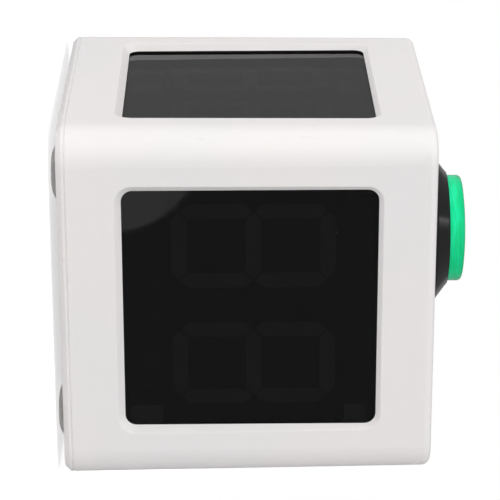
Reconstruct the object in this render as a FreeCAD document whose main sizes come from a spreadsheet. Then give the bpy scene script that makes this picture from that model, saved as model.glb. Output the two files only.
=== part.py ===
import FreeCAD, Part
import math
import os
import re
import Sketcher

# A cube-shaped gym round timer that stands on four feet. +Z is up, the front window faces -Y,
# and the origin is the middle of the square that the feet stand on. All sizes are in millimetres.

Vec = FreeCAD.Vector
doc = FreeCAD.newDocument("RoundTimer")
sheet = doc.addObject("Spreadsheet::Sheet", "Sizes")

# Driving sizes: name, value, meaning. Each one can be changed by itself.
SIZES = [
    ("side", 141.6, "width and depth of the housing"),
    ("housing_tall", 138.4, "height of the housing above the seam"),
    ("draft", 0.6, "lean of the housing's side faces, in degrees"),
    ("corner", 13.4, "radius of the upright corners at the seam"),
    ("top_round", 3.2, "radius round the top face"),
    ("wall", 3.2, "wall of the housing"),
    ("cover_thick", 3.2, "thickness of the bottom cover"),
    ("cover_bevel", 2.1, "bevel round the underside of the cover"),
    ("seam_bevel", 0.4, "small bevel each side of the seam"),
    ("lip_wall", 1.6, "thickness of the cover's locating lip"),
    ("lip_tall", 3.0, "height of the lip"),
    ("lip_gap", 0.15, "clearance between lip and housing"),
    ("lip_start", 14.0, "start of each lip from the middle of its side"),
    ("lip_over", 2.0, "lip beyond the middle of a screw post"),
    ("foot_tall", 2.7, "height of a foot"),
    ("foot_inset", 21.8, "middle of a foot from the side face"),
    ("foot_flat", 5.0, "radius of a foot's flat"),
    ("foot_base", 11.2, "radius of a foot at the cover"),
    ("foot_edge", 0.4, "upright edge of a foot"),
    ("foot_crown", 9.5, "rounding radius of a foot"),
    ("boss_radius", 4.5, "radius of a corner screw boss"),
    ("boss_tall", 18.0, "height of a corner screw boss"),
    ("web", 2.0, "thickness of the web behind a boss"),
    ("screw_radius", 1.5, "shank radius of every screw"),
    ("screw_gap", 0.05, "clearance of a shank in its pilot hole"),
    ("screw_head", 2.9, "head radius of every screw"),
    ("head_tall", 1.8, "head height of every screw"),
    ("head_below", 0.2, "cover screw's head below the cover's face"),
    ("screw_pass", 0.25, "clearance of a shank in the plate that it holds"),
    ("cover_screw_long", 14.0, "shank length of a cover screw"),
    ("board_screw_long", 7.0, "shank length of a board screw"),
    ("pilot_spare", 0.5, "pilot hole beyond a screw's end"),
    ("through", 1.0, "how far a cut runs past the far face"),
    ("window_side", 23.1, "margin of the glass opening at each side"),
    ("window_low", 20.6, "margin of the glass opening above the seam"),
    ("window_high", 21.75, "margin of the glass opening below the top"),
    ("window_corner", 4.3, "corner radius of the glass opening"),
    ("rim_wide", 2.8, "width of the sloped rim through the wall"),
    ("rim_round", 0.7, "rounding of the rim's outer edge"),
    ("gasket_thick", 0.8, "thickness of the window gasket"),
    ("gasket_back", 0.3, "how far the gasket stays behind the rim's edge"),
    ("glass_lap", 4.0, "overlap of the window behind the rim"),
    ("glass_thick", 3.0, "thickness of the smoked window"),
    ("glass_gap", 0.3, "clearance of the window in its frame rib"),
    ("rib_wall", 1.5, "thickness of the frame rib"),
    ("rib_tall", 3.0, "height of the frame rib"),
    ("shell_gap", 0.5, "gap between window and digit shells"),
    ("shell_deep", 11.0, "depth of a digit shell"),
    ("shell_split", 0.3, "gap between the two digit shells"),
    ("shell_end", 13.0, "window opening beyond a shell's end"),
    ("digit_side", 7.0, "digit shell beyond the digit at the sides"),
    ("digit_end", 4.0, "digit shell beyond the digit at the ends"),
    ("digit_rise", 1.3, "digits above the middle of the window"),
    ("bar_wide", 5.9, "width of a digit's bar"),
    ("bar_gap", 0.8, "gap between neighbouring bars"),
    ("bar_deep", 1.0, "depth of a bar"),
    ("board_thick", 1.6, "thickness of every circuit board"),
    ("post_inset", 11.7, "screw post inside the side of the glass opening"),
    ("post_out", 10.0, "screw post above or below the glass opening"),
    ("post_radius", 3.5, "radius of a screw post"),
    ("pilot_deep", 9.0, "depth of a pilot hole in a post"),
    ("ear_half", 4.0, "half width of a board's ear"),
    ("button_back", 18.7, "button axis behind the middle"),
    ("bezel_radius", 31.0, "outer radius of the button bezel"),
    ("bezel_side", 4.2, "height of the bezel's upright side"),
    ("bezel_turn", 1.2, "bezel's edge from the upright side to the slope"),
    ("bezel_slope", 6.4, "start of the bezel's slope above the top face"),
    ("bezel_tall", 11.7, "height of the bezel"),
    ("bezel_rim", 1.5, "width of the bezel's rim round the cap"),
    ("bezel_lip", 0.5, "rise of that rim"),
    ("bezel_curve", 3.0, "radius of the edge below the slope"),
    ("bezel_floor", 1.4, "thickness of the bezel under the cap"),
    ("cap_radius", 21.75, "outer radius of the cap"),
    ("cap_gap", 0.35, "clearance of the cap in the bezel"),
    ("cap_low", 7.0, "lower edge of the cap above the top face"),
    ("cap_high", 17.8, "rim of the cap above the top face"),
    ("cap_crown", 1.5, "rise of the cap's dome"),
    ("cap_round", 1.8, "rounding of the cap's rim"),
    ("cap_wall", 2.2, "wall of the cap"),
    ("cap_clip", 0.1, "clearance between cap and plunger"),
    ("button_travel", 4.0, "travel of the button"),
    ("seal_thick", 1.0, "thickness of the seal under the bezel"),
    ("seal_edge", 3.7, "bezel outside the seal"),
    ("barrel_radius", 13.9, "outer radius of the barrel"),
    ("barrel_gap", 0.2, "clearance of the barrel in the top face"),
    ("barrel_wall", 1.7, "wall of the barrel"),
    ("barrel_long", 32.0, "barrel below the top face"),
    ("barrel_floor", 2.0, "floor of the barrel"),
    ("stem_radius", 9.0, "outer radius of the plunger's tube"),
    ("stem_wall", 1.8, "wall of the plunger's tube"),
    ("slide_gap", 0.4, "clearance round the sliding plunger"),
    ("collar_depth", 4.0, "top of the spring collar below the top face"),
    ("collar_tall", 2.0, "height of a collar on the plunger"),
    ("catch_wide", 1.4, "width of the catch below the barrel"),
    ("flange_tall", 2.0, "height of the plunger's flange"),
    ("stem_tail", 3.5, "plunger's tube below the barrel"),
    ("wire_radius", 0.6, "radius of the spring wire"),
    ("spring_gap", 0.05, "gap under the spring"),
    ("spring_pitch", 3.4, "pitch of the return spring"),
    ("nut_tall", 8.0, "height of the lock nut"),
    ("nut_wall", 3.6, "wall of the lock nut"),
    ("nut_flange", 2.0, "part of the lock nut above its grips"),
    ("grip_out", 0.54, "middle of a grip outside the lock nut"),
    ("nut_gap", 0.05, "clearance of a nut on its thread"),
    ("holder_wall", 2.5, "wall of the switch holder"),
    ("holder_gap", 0.2, "clearance between holder and barrel"),
    ("holder_over", 8.0, "overlap of holder and barrel"),
    ("holder_drop", 8.0, "holder's plate below the barrel"),
    ("holder_plate", 2.0, "thickness of the holder's plate"),
    ("lamp_radius", 4.0, "radius of the lamp"),
    ("lamp_tall", 6.0, "straight part of the lamp"),
    ("lamp_rise", 2.0, "foot of the lamp below the top face"),
    ("switch_wide", 27.8, "width of the microswitch"),
    ("switch_deep", 10.3, "thickness of the microswitch"),
    ("switch_tall", 15.9, "height of the microswitch"),
    ("switch_drop", 0.3, "gap between holder and microswitch"),
    ("switch_hole", 2.8, "microswitch's holes from its lower corners"),
    ("blade_long", 7.0, "terminals below the microswitch"),
    ("blade_thin", 0.4, "half thickness of a terminal"),
    ("blade_half", 3.0, "half width of a terminal"),
    ("pin_radius", 1.5, "radius of the microswitch plunger"),
    ("pin_gap", 0.1, "clearance round the microswitch plunger"),
    ("pin_travel", 1.2, "travel of the microswitch plunger"),
    ("pin_clear", 0.3, "gap left over the plunger at full travel"),
    ("pin_sunk", 3.0, "plunger inside the microswitch"),
    ("key_front", 38.0, "set keys in front of the middle"),
    ("key_pitch", 22.0, "distance between set keys"),
    ("key_radius", 5.5, "radius of a set key"),
    ("key_gap", 0.3, "clearance round a set key"),
    ("key_proud", 1.2, "set key above the top face"),
    ("key_round", 0.6, "rounding of a set key"),
    ("key_flange", 1.5, "flange beyond a set key"),
    ("key_thick", 1.0, "thickness of the flange"),
    ("key_travel", 0.8, "travel of a set key"),
    ("key_mark", 5.0, "length of the mark on a set key"),
    ("mark_wide", 1.0, "width of the mark"),
    ("mark_deep", 0.3, "depth of the mark"),
    ("key_switch", 6.0, "side of a key switch"),
    ("key_switch_tall", 3.5, "height of a key switch"),
    ("key_dome", 0.5, "dome of a key switch"),
    ("key_stem", 0.4, "stem under a set key"),
    ("stem_slim", 1.6, "radius of the stem"),
    ("key_board_deep", 14.0, "depth of the key board"),
    ("key_board_end", 15.0, "key board beyond the outer keys"),
    ("key_post_out", 11.0, "screw post beyond the outer keys"),
    ("inlet_rise", 8.2, "power inlet above the seam"),
    ("inlet_flange", 7.0, "radius of the inlet's flange"),
    ("flange_thick", 2.0, "thickness of the inlet's flange"),
    ("inlet_thread", 5.95, "radius of the inlet's thread"),
    ("inlet_gap", 0.15, "clearance round the inlet"),
    ("inlet_boss", 7.8, "radius of the boss behind the inlet"),
    ("inlet_pad", 2.5, "height of that boss"),
    ("inlet_long", 14.0, "inlet behind its flange"),
    ("socket_radius", 3.2, "radius of the inlet's socket"),
    ("socket_deep", 9.5, "depth of the socket"),
    ("contact_radius", 1.05, "radius of the inlet's pin"),
    ("contact_back", 1.0, "pin behind the face"),
    ("inlet_nut_radius", 7.6, "corner radius of the inlet's nut"),
    ("inlet_nut_tall", 2.5, "height of the inlet's nut"),
    ("rocker_side", 24.0, "rocker and buzzer from the display board"),
    ("rocker_back", 13.8, "rocker from the rear display board"),
    ("rocker_long", 10.6, "length of the rocker's face"),
    ("rocker_wide", 6.2, "width of the rocker"),
    ("rocker_gap", 0.8, "clearance at the rocker's ends"),
    ("rocker_play", 0.3, "clearance at the rocker's sides"),
    ("rocker_tilt", 12.0, "tilt of the rocker each way, in degrees"),
    ("rocker_face", 2.5, "rocker's middle below its pivot"),
    ("rocker_sink", 2.0, "recess of the rocker's flange"),
    ("rocker_flange", 1.5, "thickness of the rocker's flange"),
    ("rocker_edge", 2.3, "width of that flange beyond the opening"),
    ("rocker_body", 12.0, "rocker housing above its flange"),
    ("rocker_case", 0.75, "wall of the rocker housing at its ends"),
    ("case_side", 1.1, "wall of the rocker housing at its sides"),
    ("tip_part", 0.98, "low tip of the rocker as a part of its half length"),
    ("side_part", 0.85, "its end at the pivot's height, as such a part"),
    ("back_part", 0.4, "its back, as such a part"),
    ("hub_part", 1.8, "rocker behind its pivot, in radii of the axle"),
    ("rocker_fit", 0.15, "clearance round the rocker housing"),
    ("axle_radius", 0.9, "radius of the rocker's axle"),
    ("axle_gap", 0.05, "running clearance of the axle"),
    ("pad_tall", 2.0, "pad inside the cover round the rocker"),
    ("pad_edge", 1.6, "width of that pad at the rocker's ends"),
    ("pad_side", 0.6, "width of that pad at the rocker's sides"),
    ("pad_root", 0.5, "root of that pad inside the cover"),
    ("buzzer_radius", 12.0, "radius of the buzzer"),
    ("buzzer_tall", 9.0, "height of the buzzer"),
    ("mouth_radius", 2.2, "radius of the buzzer's mouth"),
    ("mouth_deep", 3.0, "depth of the buzzer's mouth"),
    ("buzzer_back", 34.2, "buzzer from the rear display board"),
    ("sound_hole", 1.1, "radius of a sound hole"),
    ("sound_ring", 5.5, "radius of the ring of sound holes"),
    ("ring_wall", 1.5, "wall of the ring round the buzzer"),
    ("ring_tall", 4.0, "height of that ring"),
    ("cell_radius", 9.2, "radius of a battery cell"),
    ("cell_long", 65.0, "length of a battery cell"),
    ("cell_gap", 0.2, "clearance round a cell"),
    ("cell_pitch", 19.6, "distance between the cells"),
    ("tray_floor", 1.6, "tray under the cells"),
    ("tray_tall", 12.0, "height of the tray"),
    ("tray_end", 3.6, "tray beyond the ends of the cells"),
    ("tray_edge", 2.6, "tray beyond the sides of the cells"),
    ("tray_front", 5.0, "tray from the front display board"),
    ("contact_thick", 0.8, "thickness of a battery contact"),
    ("contact_half", 4.0, "half width of a battery contact"),
    ("contact_rise", 5.0, "battery contact above the middle of its cell"),
    ("clamp_wide", 14.0, "width of the battery clamp"),
    ("clamp_thick", 2.4, "clamp above the cells"),
    ("clamp_foot", 10.0, "foot of the clamp beside the tray"),
    ("clamp_gap", 1.0, "gap between clamp and main board"),
    ("board_gap", 5.0, "main board from its neighbours"),
    ("standoff_tall", 6.0, "height of a standoff"),
    ("standoff_radius", 3.0, "radius of a standoff"),
    ("hole_inset", 4.0, "screw hole from the edges of a board"),
    ("cable_radius", 1.0, "radius of an internal cable"),
    ("plug_half", 2.0, "half width of a plug on a board"),
    ("plug_tall", 3.5, "height of a plug on a board"),
    ("cable_level", 46.0, "height of the cables to the displays"),
    ("cable_low", 27.0, "height of the cables over the main board"),
]

# Places that follow from the driving sizes.
PLACES = {
    "seam": "foot_tall + cover_thick",
    "top": "seam + housing_tall",
    "ceiling": "top - wall",
    "inner_half": "side / 2 - wall",
    "open_half": "side / 2 - window_side",
    "open_low": "seam + window_low",
    "open_high": "top - window_high",
    "glass_front": "inner_half - gasket_thick",
    "glass_back": "glass_front - glass_thick",
    "pane_half": "open_half + glass_lap",
    "pane_low": "open_low - glass_lap",
    "pane_high": "open_high + glass_lap",
    "pane_corner": "window_corner + glass_lap",
    "shell_front": "glass_back - shell_gap",
    "board_front": "shell_front - shell_deep",
    "core": "board_front - board_thick",
    "digit_mid": "(open_low + open_high) / 2 + digit_rise",
    "shell_half": "(open_high - open_low) / 2 - shell_end",
    "digit_half": "shell_half - digit_end",
    "digit_near": "shell_split / 2 + digit_side",
    "digit_far": "open_half - digit_side",
    "post_side": "open_half - post_inset",
    "post_low": "open_low - post_out",
    "post_high": "open_high + post_out",
    "pilot": "screw_radius + screw_gap",
    "pass_radius": "screw_radius + screw_pass",
    "foot_side": "side / 2 - foot_inset",
    "corner_mid": "side / 2 - corner + (corner - wall / 2) * 0.7071",
    "head_sink": "head_tall + head_below",
    "well": "cap_radius + cap_gap",
    "rim_radius": "well + bezel_rim",
    "rim_curve": "(bezel_rim * bezel_rim / 4 + bezel_lip * bezel_lip) / (2 * bezel_lip)",
    "bezel_base": "seal_thick + bezel_floor",
    "seal_radius": "bezel_radius - seal_edge",
    "bore": "barrel_radius - barrel_wall",
    "floor_top": "barrel_floor - barrel_long",
    "guide": "stem_radius + slide_gap",
    "stem_bore": "stem_radius - stem_wall",
    "collar_radius": "bore - slide_gap",
    "spring_radius": "(stem_radius + bore) / 2",
    "spring_low": "floor_top + wire_radius + spring_gap",
    "spring_high": "-collar_depth - collar_tall - wire_radius - slide_gap",
    "stem_low": "-barrel_long - stem_tail",
    "flange_low": "cap_low + flange_tall",
    "plate_top": "-barrel_long - holder_drop",
    "plate_low": "plate_top - holder_plate",
    "holder_bore": "barrel_radius + holder_gap",
    "holder_radius": "holder_bore + holder_wall",
    "pin_side": "stem_radius - stem_wall / 2",
    "pin_top": "stem_low - button_travel + pin_travel - pin_clear",
    "switch_top": "plate_low - switch_drop",
    "lamp_foot": "pin_side - pin_radius - pin_clear",
    "lamp_stem": "lamp_foot - holder_wall / 4",
    "key_foot": "ceiling - key_gap - key_thick - key_stem",
    "key_board_top": "key_foot - key_travel - key_gap - key_dome - key_switch_tall",
    "key_board_half": "key_pitch + key_board_end",
    "key_post": "key_pitch + key_post_out",
    "inlet_high": "seam + inlet_rise",
    "inlet_land": "inner_half - inlet_pad",
    "rocker_x": "rocker_side - core",
    "rocker_y": "core - rocker_back",
    "slot_long": "rocker_long / 2 + rocker_gap",
    "slot_wide": "rocker_wide / 2 + rocker_play",
    "case_long": "slot_long + rocker_case",
    "case_wide": "slot_wide + case_side",
    "flange_face": "foot_tall + rocker_sink - rocker_flange",
    "rocker_pivot": "flange_face + rocker_face",
    "buzzer_y": "core - buzzer_back",
    "tray_half": "cell_pitch / 2 + cell_radius + tray_edge",
    "tray_long": "cell_long / 2 + tray_end",
    "tray_y": "tray_front + tray_half - core",
    "cell_high": "seam + tray_floor + cell_radius + cell_gap",
    "trough": "cell_radius + cell_gap",
    "clamp_side": "tray_half + clamp_foot",
    "main_left": "rocker_x + buzzer_radius + board_gap",
    "main_right": "core - board_gap",
    "main_front": "tray_y + clamp_side + clamp_gap",
    "main_rear": "core - board_gap",
    "main_low": "seam + standoff_tall",
    "main_top": "main_low + board_thick",
    "main_x": "(main_left + main_right) / 2",
    "main_y": "(main_front + main_rear) / 2",
    "main_half_x": "(main_right - main_left) / 2",
    "main_half_y": "(main_rear - main_front) / 2",
}

CELLS = {name for name, size, meaning in SIZES}
nodes = {}
known = {}


def fillSheet():
    for row, (name, size, meaning) in enumerate(SIZES, start=1):
        sheet.set(f"A{row}", name)
        sheet.set(f"B{row}", str(size))
        sheet.set(f"C{row}", meaning)
        sheet.setAlias(f"B{row}", name)
    doc.recompute()


def cell(text):
    # Turns size and place names into references to the sheet.
    def swap(match):
        word = match.group()
        if word in PLACES:
            return "(" + cell(PLACES[word]) + ")"
        return "Sizes." + word if word in CELLS else word

    return re.sub(r"[a-z][a-z_]*", swap, str(text))


def value(text):
    text = str(text)
    if text not in known:
        known[text] = float(sheet.evalExpression(cell(text)))
    return known[text]


def bind(thing, **sizes):
    for name, text in sizes.items():
        thing.setExpression(name.replace("_", "."), cell(text))


def place(thing, x="0", y="0", z="0", turn=0.0, axis=Vec(0, 0, 1)):
    spot = Vec(value(x), value(y), value(z))
    thing.Placement = FreeCAD.Placement(spot, FreeCAD.Rotation(axis, turn))
    bind(thing, Placement_Base_x=x, Placement_Base_y=y, Placement_Base_z=z)


def keep(label, thing):
    thing.Label = label
    nodes[label] = thing
    return thing


def newBody(label):
    body = doc.addObject("PartDesign::Body", label)
    return keep(label, body)


def newSketch(body, role="XY_Plane", lift="0", across="0", along="0"):
    plane = [f for f in body.Origin.OriginFeatures if f.Role == role][0]
    sketch = body.newObject("Sketcher::SketchObject", "Outline")
    sketch.AttachmentSupport = [(plane, "")]
    sketch.MapMode = "FlatFace"
    sketch.AttachmentOffset = FreeCAD.Placement(
        Vec(value(across), value(along), value(lift)), FreeCAD.Rotation()
    )
    for axis, text in (("x", across), ("y", along), ("z", lift)):
        sketch.setExpression("AttachmentOffset.Base." + axis, cell(text))
    return sketch


def constrain(sketch, joins, sizes):
    # joins are ready constraints; sizes are (kind, geometry ids, expression), each bound to the sheet.
    sketch.addConstraint(joins)
    first = sketch.ConstraintCount
    sketch.addConstraint([Sketcher.Constraint(kind, *ids, value(text)) for kind, ids, text in sizes])
    for index, (kind, ids, text) in enumerate(sizes, start=first):
        sketch.setExpression(f"Constraints[{index}]", cell(text))


def pinned(geometry, end, x, y):
    return [
        ("DistanceX", (-1, 1, geometry, end), x),
        ("DistanceY", (-1, 1, geometry, end), y),
    ]


def arcBetween(start, end, radius):
    # radius > 0 turns left on the way from start to end, radius < 0 turns right.
    chord = end.sub(start)
    half = chord.Length / 2
    rise = math.sqrt(max(radius * radius - half * half, 0.0))
    left = Vec(-chord.y, chord.x, 0).normalize()
    centre = start + chord * 0.5 + left * (rise if radius > 0 else -rise)
    ends = [start, end] if radius > 0 else [end, start]
    angles = [math.atan2(p.y - centre.y, p.x - centre.x) for p in ends]
    circle = Part.Circle(centre, Vec(0, 0, 1), abs(radius))
    return Part.ArcOfCircle(circle, angles[0], angles[1])


def outline(sketch, corners):
    # A closed outline. Each corner is (x, y) or (x, y, r), where r is the radius of the arc that leads to it.
    first = sketch.GeometryCount
    spots = [Vec(value(c[0]), value(c[1]), 0) for c in corners]
    shapes = []
    ends = []
    sizes = []
    for index, spot in enumerate(spots):
        after = (index + 1) % len(corners)
        radius = corners[after][2] if len(corners[after]) > 2 else None
        turn = 1
        if radius is None:
            shapes.append(Part.LineSegment(spot, spots[after]))
        else:
            shapes.append(arcBetween(spot, spots[after], value(radius)))
            turn = 1 if value(radius) > 0 else -1
            sizes.append(("Radius", (first + index,), radius if turn > 0 else f"0 - ({radius})"))
        ends.append((1, 2) if turn > 0 else (2, 1))
    sketch.addGeometry(shapes, False)
    joins = []
    for index in range(len(corners)):
        before = index - 1 if index else len(corners) - 1
        joins.append(
            Sketcher.Constraint("Coincident", first + before, ends[before][1], first + index, ends[index][0])
        )
        sizes += pinned(first + index, ends[index][0], corners[index][0], corners[index][1])
    constrain(sketch, joins, sizes)


def rectangle(sketch, left, right, low, high):
    outline(sketch, [(left, low), (right, low), (right, high), (left, high)])


def roundedOutline(sketch, left, right, low, high, radius):
    near = f"({left}) + ({radius})"
    far = f"({right}) - ({radius})"
    under = f"({low}) + ({radius})"
    over = f"({high}) - ({radius})"
    corners = [
        (near, low, radius),
        (far, low),
        (right, under, radius),
        (right, over),
        (far, high, radius),
        (near, high),
        (left, over, radius),
        (left, under),
    ]
    outline(sketch, corners)


def circle(sketch, radius, x="0", y="0"):
    index = sketch.GeometryCount
    sketch.addGeometry(Part.Circle(Vec(value(x), value(y), 0), Vec(0, 0, 1), value(radius)), False)
    constrain(sketch, [], [("Radius", (index,), radius)] + pinned(index, 3, x, y))


def finished(body, feature):
    body.Tip = feature
    doc.recompute()
    return feature


def pad(body, sketch, length, back=False):
    feature = body.newObject("PartDesign::Pad", "Pad")
    feature.Profile = sketch
    feature.Reversed = back
    bind(feature, Length=length)
    return finished(body, feature)


def pocket(body, sketch, depth, back=False):
    before = body.Shape.Volume
    feature = body.newObject("PartDesign::Pocket", "Pocket")
    feature.Profile = sketch
    feature.Reversed = back
    bind(feature, Length=depth)
    finished(body, feature)
    if body.Shape.Volume > before - 0.01:
        raise ValueError(f"a pocket in {body.Label} cuts nothing")
    return feature


def revolve(body, sketch, axis="V_Axis"):
    feature = body.newObject("PartDesign::Revolution", "Revolution")
    feature.Profile = sketch
    feature.ReferenceAxis = (sketch, [axis])
    feature.Angle = 360
    return finished(body, feature)


def around(body, originals, count=4):
    # Repeats features evenly round the body's own Z axis.
    axis = [f for f in body.Origin.OriginFeatures if f.Role == "Z_Axis"][0]
    feature = body.newObject("PartDesign::PolarPattern", "Around")
    feature.Originals = originals
    feature.Axis = (axis, [""])
    feature.Angle = 360
    feature.Occurrences = count
    return finished(body, feature)


def edgesWhere(feature, test):
    edges = feature.Shape.Edges
    return [f"Edge{index}" for index, edge in enumerate(edges, start=1) if test(edge.BoundBox)]


def soften(body, kind, test, size):
    # Rounds or bevels the edges whose bounding box passes the test.
    base = body.Tip
    feature = body.newObject("PartDesign::" + kind, kind)
    feature.Base = (base, edgesWhere(base, test))
    bind(feature, **{"Radius" if kind == "Fillet" else "Size": size})
    return finished(body, feature)


def flatAt(height):
    level = value(height)
    return lambda box: abs(box.ZMin - level) < 0.001 and abs(box.ZMax - level) < 0.001


def block(x, y, z):
    # A box from three (low, high) pairs of expressions.
    thing = doc.addObject("Part::Box", "Block")
    bind(
        thing,
        Length=f"({x[1]}) - ({x[0]})",
        Width=f"({y[1]}) - ({y[0]})",
        Height=f"({z[1]}) - ({z[0]})",
    )
    place(thing, x[0], y[0], z[0])
    return thing


def rod(radius, x, y, z, length, axis=Vec(0, 0, 1), turn=0.0):
    # A cylinder from a point. Without a turn it stands along +Z.
    thing = doc.addObject("Part::Cylinder", "Rod")
    bind(thing, Radius=radius, Height=length)
    place(thing, x, y, z, turn, axis)
    return thing


ALONG_X = {"axis": Vec(0, 1, 0), "turn": 90.0}
ALONG_Y = {"axis": Vec(1, 0, 0), "turn": -90.0}


def join(kind, things):
    thing = doc.addObject("Part::" + kind, kind)
    setattr(thing, "Links" if kind == "Compound" else "Shapes", things)
    return thing


def cut(base, tool):
    thing = doc.addObject("Part::Cut", "Cut")
    thing.Base = base
    thing.Tool = tool
    return thing


def signs():
    return [(x, y) for x in (-1, 1) for y in (-1, 1)]


# --- housing and cover ---


def windowOutline(body, lift, grow):
    sketch = newSketch(body, "XZ_Plane", lift)
    roundedOutline(
        sketch,
        f"0 - open_half - ({grow})",
        f"open_half + ({grow})",
        f"open_low - ({grow})",
        f"open_high + ({grow})",
        f"window_corner + ({grow})",
    )
    return sketch


def housingWindow(body):
    # The opening widens outward through the wall, so its sloped rim is a loft a little longer than the wall.
    feature = body.newObject("PartDesign::SubtractiveLoft", "Window")
    feature.Profile = windowOutline(body, "side / 2 + through", "rim_wide * (1 + through / wall)")
    feature.Sections = [windowOutline(body, "inner_half - through", "0 - rim_wide * through / wall")]
    feature.Ruled = True
    return finished(body, feature)


def rimEdge(box):
    # The outer edges of the four rims: near a side face, within the window's height and clear of the corners.
    near = value("inner_half + wall / 4")
    wide = value("open_half + rim_wide + through")
    across = min(max(abs(box.XMin), abs(box.XMax)), max(abs(box.YMin), abs(box.YMax)))
    out = max(min(abs(box.XMin), abs(box.XMax)), min(abs(box.YMin), abs(box.YMax)))
    low = value("open_low - rim_wide - through")
    high = value("open_high + rim_wide + through")
    return out > near and across < wide and box.ZMin > low and box.ZMax < high


def frameRib(body):
    sketch = newSketch(body, "XZ_Plane", "inner_half - rib_tall")
    for grow in ("glass_gap + rib_wall", "glass_gap"):
        roundedOutline(
            sketch,
            f"0 - pane_half - ({grow})",
            f"pane_half + ({grow})",
            f"pane_low - ({grow})",
            f"pane_high + ({grow})",
            f"pane_corner + ({grow})",
        )
    return pad(body, sketch, "rib_tall + wall / 2")


def displayPosts(body):
    sketch = newSketch(body, "XZ_Plane", "board_front")
    holes = newSketch(body, "XZ_Plane", "board_front")
    for x in ("0 - post_side", "post_side"):
        for z in ("post_low", "post_high"):
            circle(sketch, "post_radius", x, z)
            circle(holes, "pilot", x, z)
    return [
        pad(body, sketch, "inner_half + wall / 2 - board_front"),
        pocket(body, holes, "pilot_deep", back=True),
    ]


def cornerBoss(body):
    sketch = newSketch(body, "XY_Plane", "seam")
    circle(sketch, "boss_radius", "foot_side", "0 - foot_side")
    boss = pad(body, sketch, "boss_tall")
    sketch = newSketch(body, "XY_Plane", "seam + lip_tall")
    half = "web * 0.3536"
    outline(
        sketch,
        [
            (f"foot_side - {half}", f"0 - foot_side - {half}"),
            (f"corner_mid - {half}", f"0 - corner_mid - {half}"),
            (f"corner_mid + {half}", f"{half} - corner_mid"),
            (f"foot_side + {half}", f"{half} - foot_side"),
        ],
    )
    rib = pad(body, sketch, "boss_tall - lip_tall")
    sketch = newSketch(body, "XY_Plane", "seam")
    circle(sketch, "pilot", "foot_side", "0 - foot_side")
    return [boss, rib, pocket(body, sketch, "boss_tall - web", back=True)]


def topHoles(body):
    sketch = newSketch(body, "XY_Plane", "top")
    circle(sketch, "barrel_radius + barrel_gap", "0", "button_back")
    for x in ("0 - key_pitch", "0", "key_pitch"):
        circle(sketch, "key_radius + key_gap", x, "0 - key_front")
    pocket(body, sketch, "wall")
    posts = newSketch(body, "XY_Plane", "key_board_top")
    holes = newSketch(body, "XY_Plane", "key_board_top")
    for x in ("0 - key_post", "key_post"):
        circle(posts, "standoff_radius", x, "0 - key_front")
        circle(holes, "pilot", x, "0 - key_front")
    pad(body, posts, "ceiling + wall / 2 - key_board_top")
    pocket(body, holes, "board_screw_long - board_thick + pilot_spare", back=True)


def inletSeat(body):
    sketch = newSketch(body, "XZ_Plane", "0 - inlet_land")
    circle(sketch, "inlet_boss", "0", "inlet_high")
    pad(body, sketch, "inlet_pad + wall / 2", back=True)
    sketch = newSketch(body, "XZ_Plane", "0 - inlet_land")
    circle(sketch, "inlet_thread + inlet_gap", "0", "inlet_high")
    pocket(body, sketch, "inlet_pad + wall + through")
    sketch = newSketch(body, "XZ_Plane", "0 - side / 2")
    circle(sketch, "inlet_flange + inlet_gap", "0", "inlet_high")
    pocket(body, sketch, "flange_thick", back=True)


def makeHousing():
    body = newBody("housing")
    sketch = newSketch(body, "XY_Plane", "seam")
    roundedOutline(sketch, "0 - side / 2", "side / 2", "0 - side / 2", "side / 2", "corner")
    shell = pad(body, sketch, "housing_tall")
    shell.setExpression("TaperAngle", cell("0 - draft"))
    finished(body, shell)
    soften(body, "Fillet", flatAt("top"), "top_round")
    soften(body, "Chamfer", flatAt("seam"), "seam_bevel")
    sketch = newSketch(body, "XY_Plane", "seam")
    roundedOutline(
        sketch, "0 - inner_half", "inner_half", "0 - inner_half", "inner_half", "corner - wall"
    )
    pocket(body, sketch, "housing_tall - wall", back=True)
    repeated = [housingWindow(body), frameRib(body)] + displayPosts(body) + cornerBoss(body)
    around(body, repeated)
    soften(body, "Fillet", rimEdge, "rim_round")
    topHoles(body)
    inletSeat(body)


def coverPlate(body):
    sketch = newSketch(body, "XY_Plane", "foot_tall")
    roundedOutline(sketch, "0 - side / 2", "side / 2", "0 - side / 2", "side / 2", "corner")
    pad(body, sketch, "cover_thick")
    soften(body, "Chamfer", flatAt("foot_tall"), "cover_bevel")
    soften(body, "Chamfer", flatAt("seam"), "seam_bevel")


def coverLips(body):
    sketch = newSketch(body, "XY_Plane", "seam")
    back = "lip_gap - inner_half"
    rectangle(sketch, "lip_start", "post_side + lip_over", back, f"{back} + lip_wall")
    rectangle(sketch, "0 - post_side - lip_over", "0 - lip_start", back, f"{back} + lip_wall")
    lips = pad(body, sketch, "lip_tall")
    sketch = newSketch(body, "XY_Plane", "foot_tall")
    circle(sketch, "screw_head + screw_pass", "foot_side", "0 - foot_side")
    sink = pocket(body, sketch, "head_sink", back=True)
    sketch = newSketch(body, "XY_Plane", "foot_tall")
    circle(sketch, "pass_radius", "foot_side", "0 - foot_side")
    hole = pocket(body, sketch, "cover_thick", back=True)
    around(body, [lips, sink, hole])


def mainHoles():
    return [
        (f"main_x + {x} * (main_half_x - hole_inset)", f"main_y + {y} * (main_half_y - hole_inset)")
        for x, y in signs()
    ]


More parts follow.
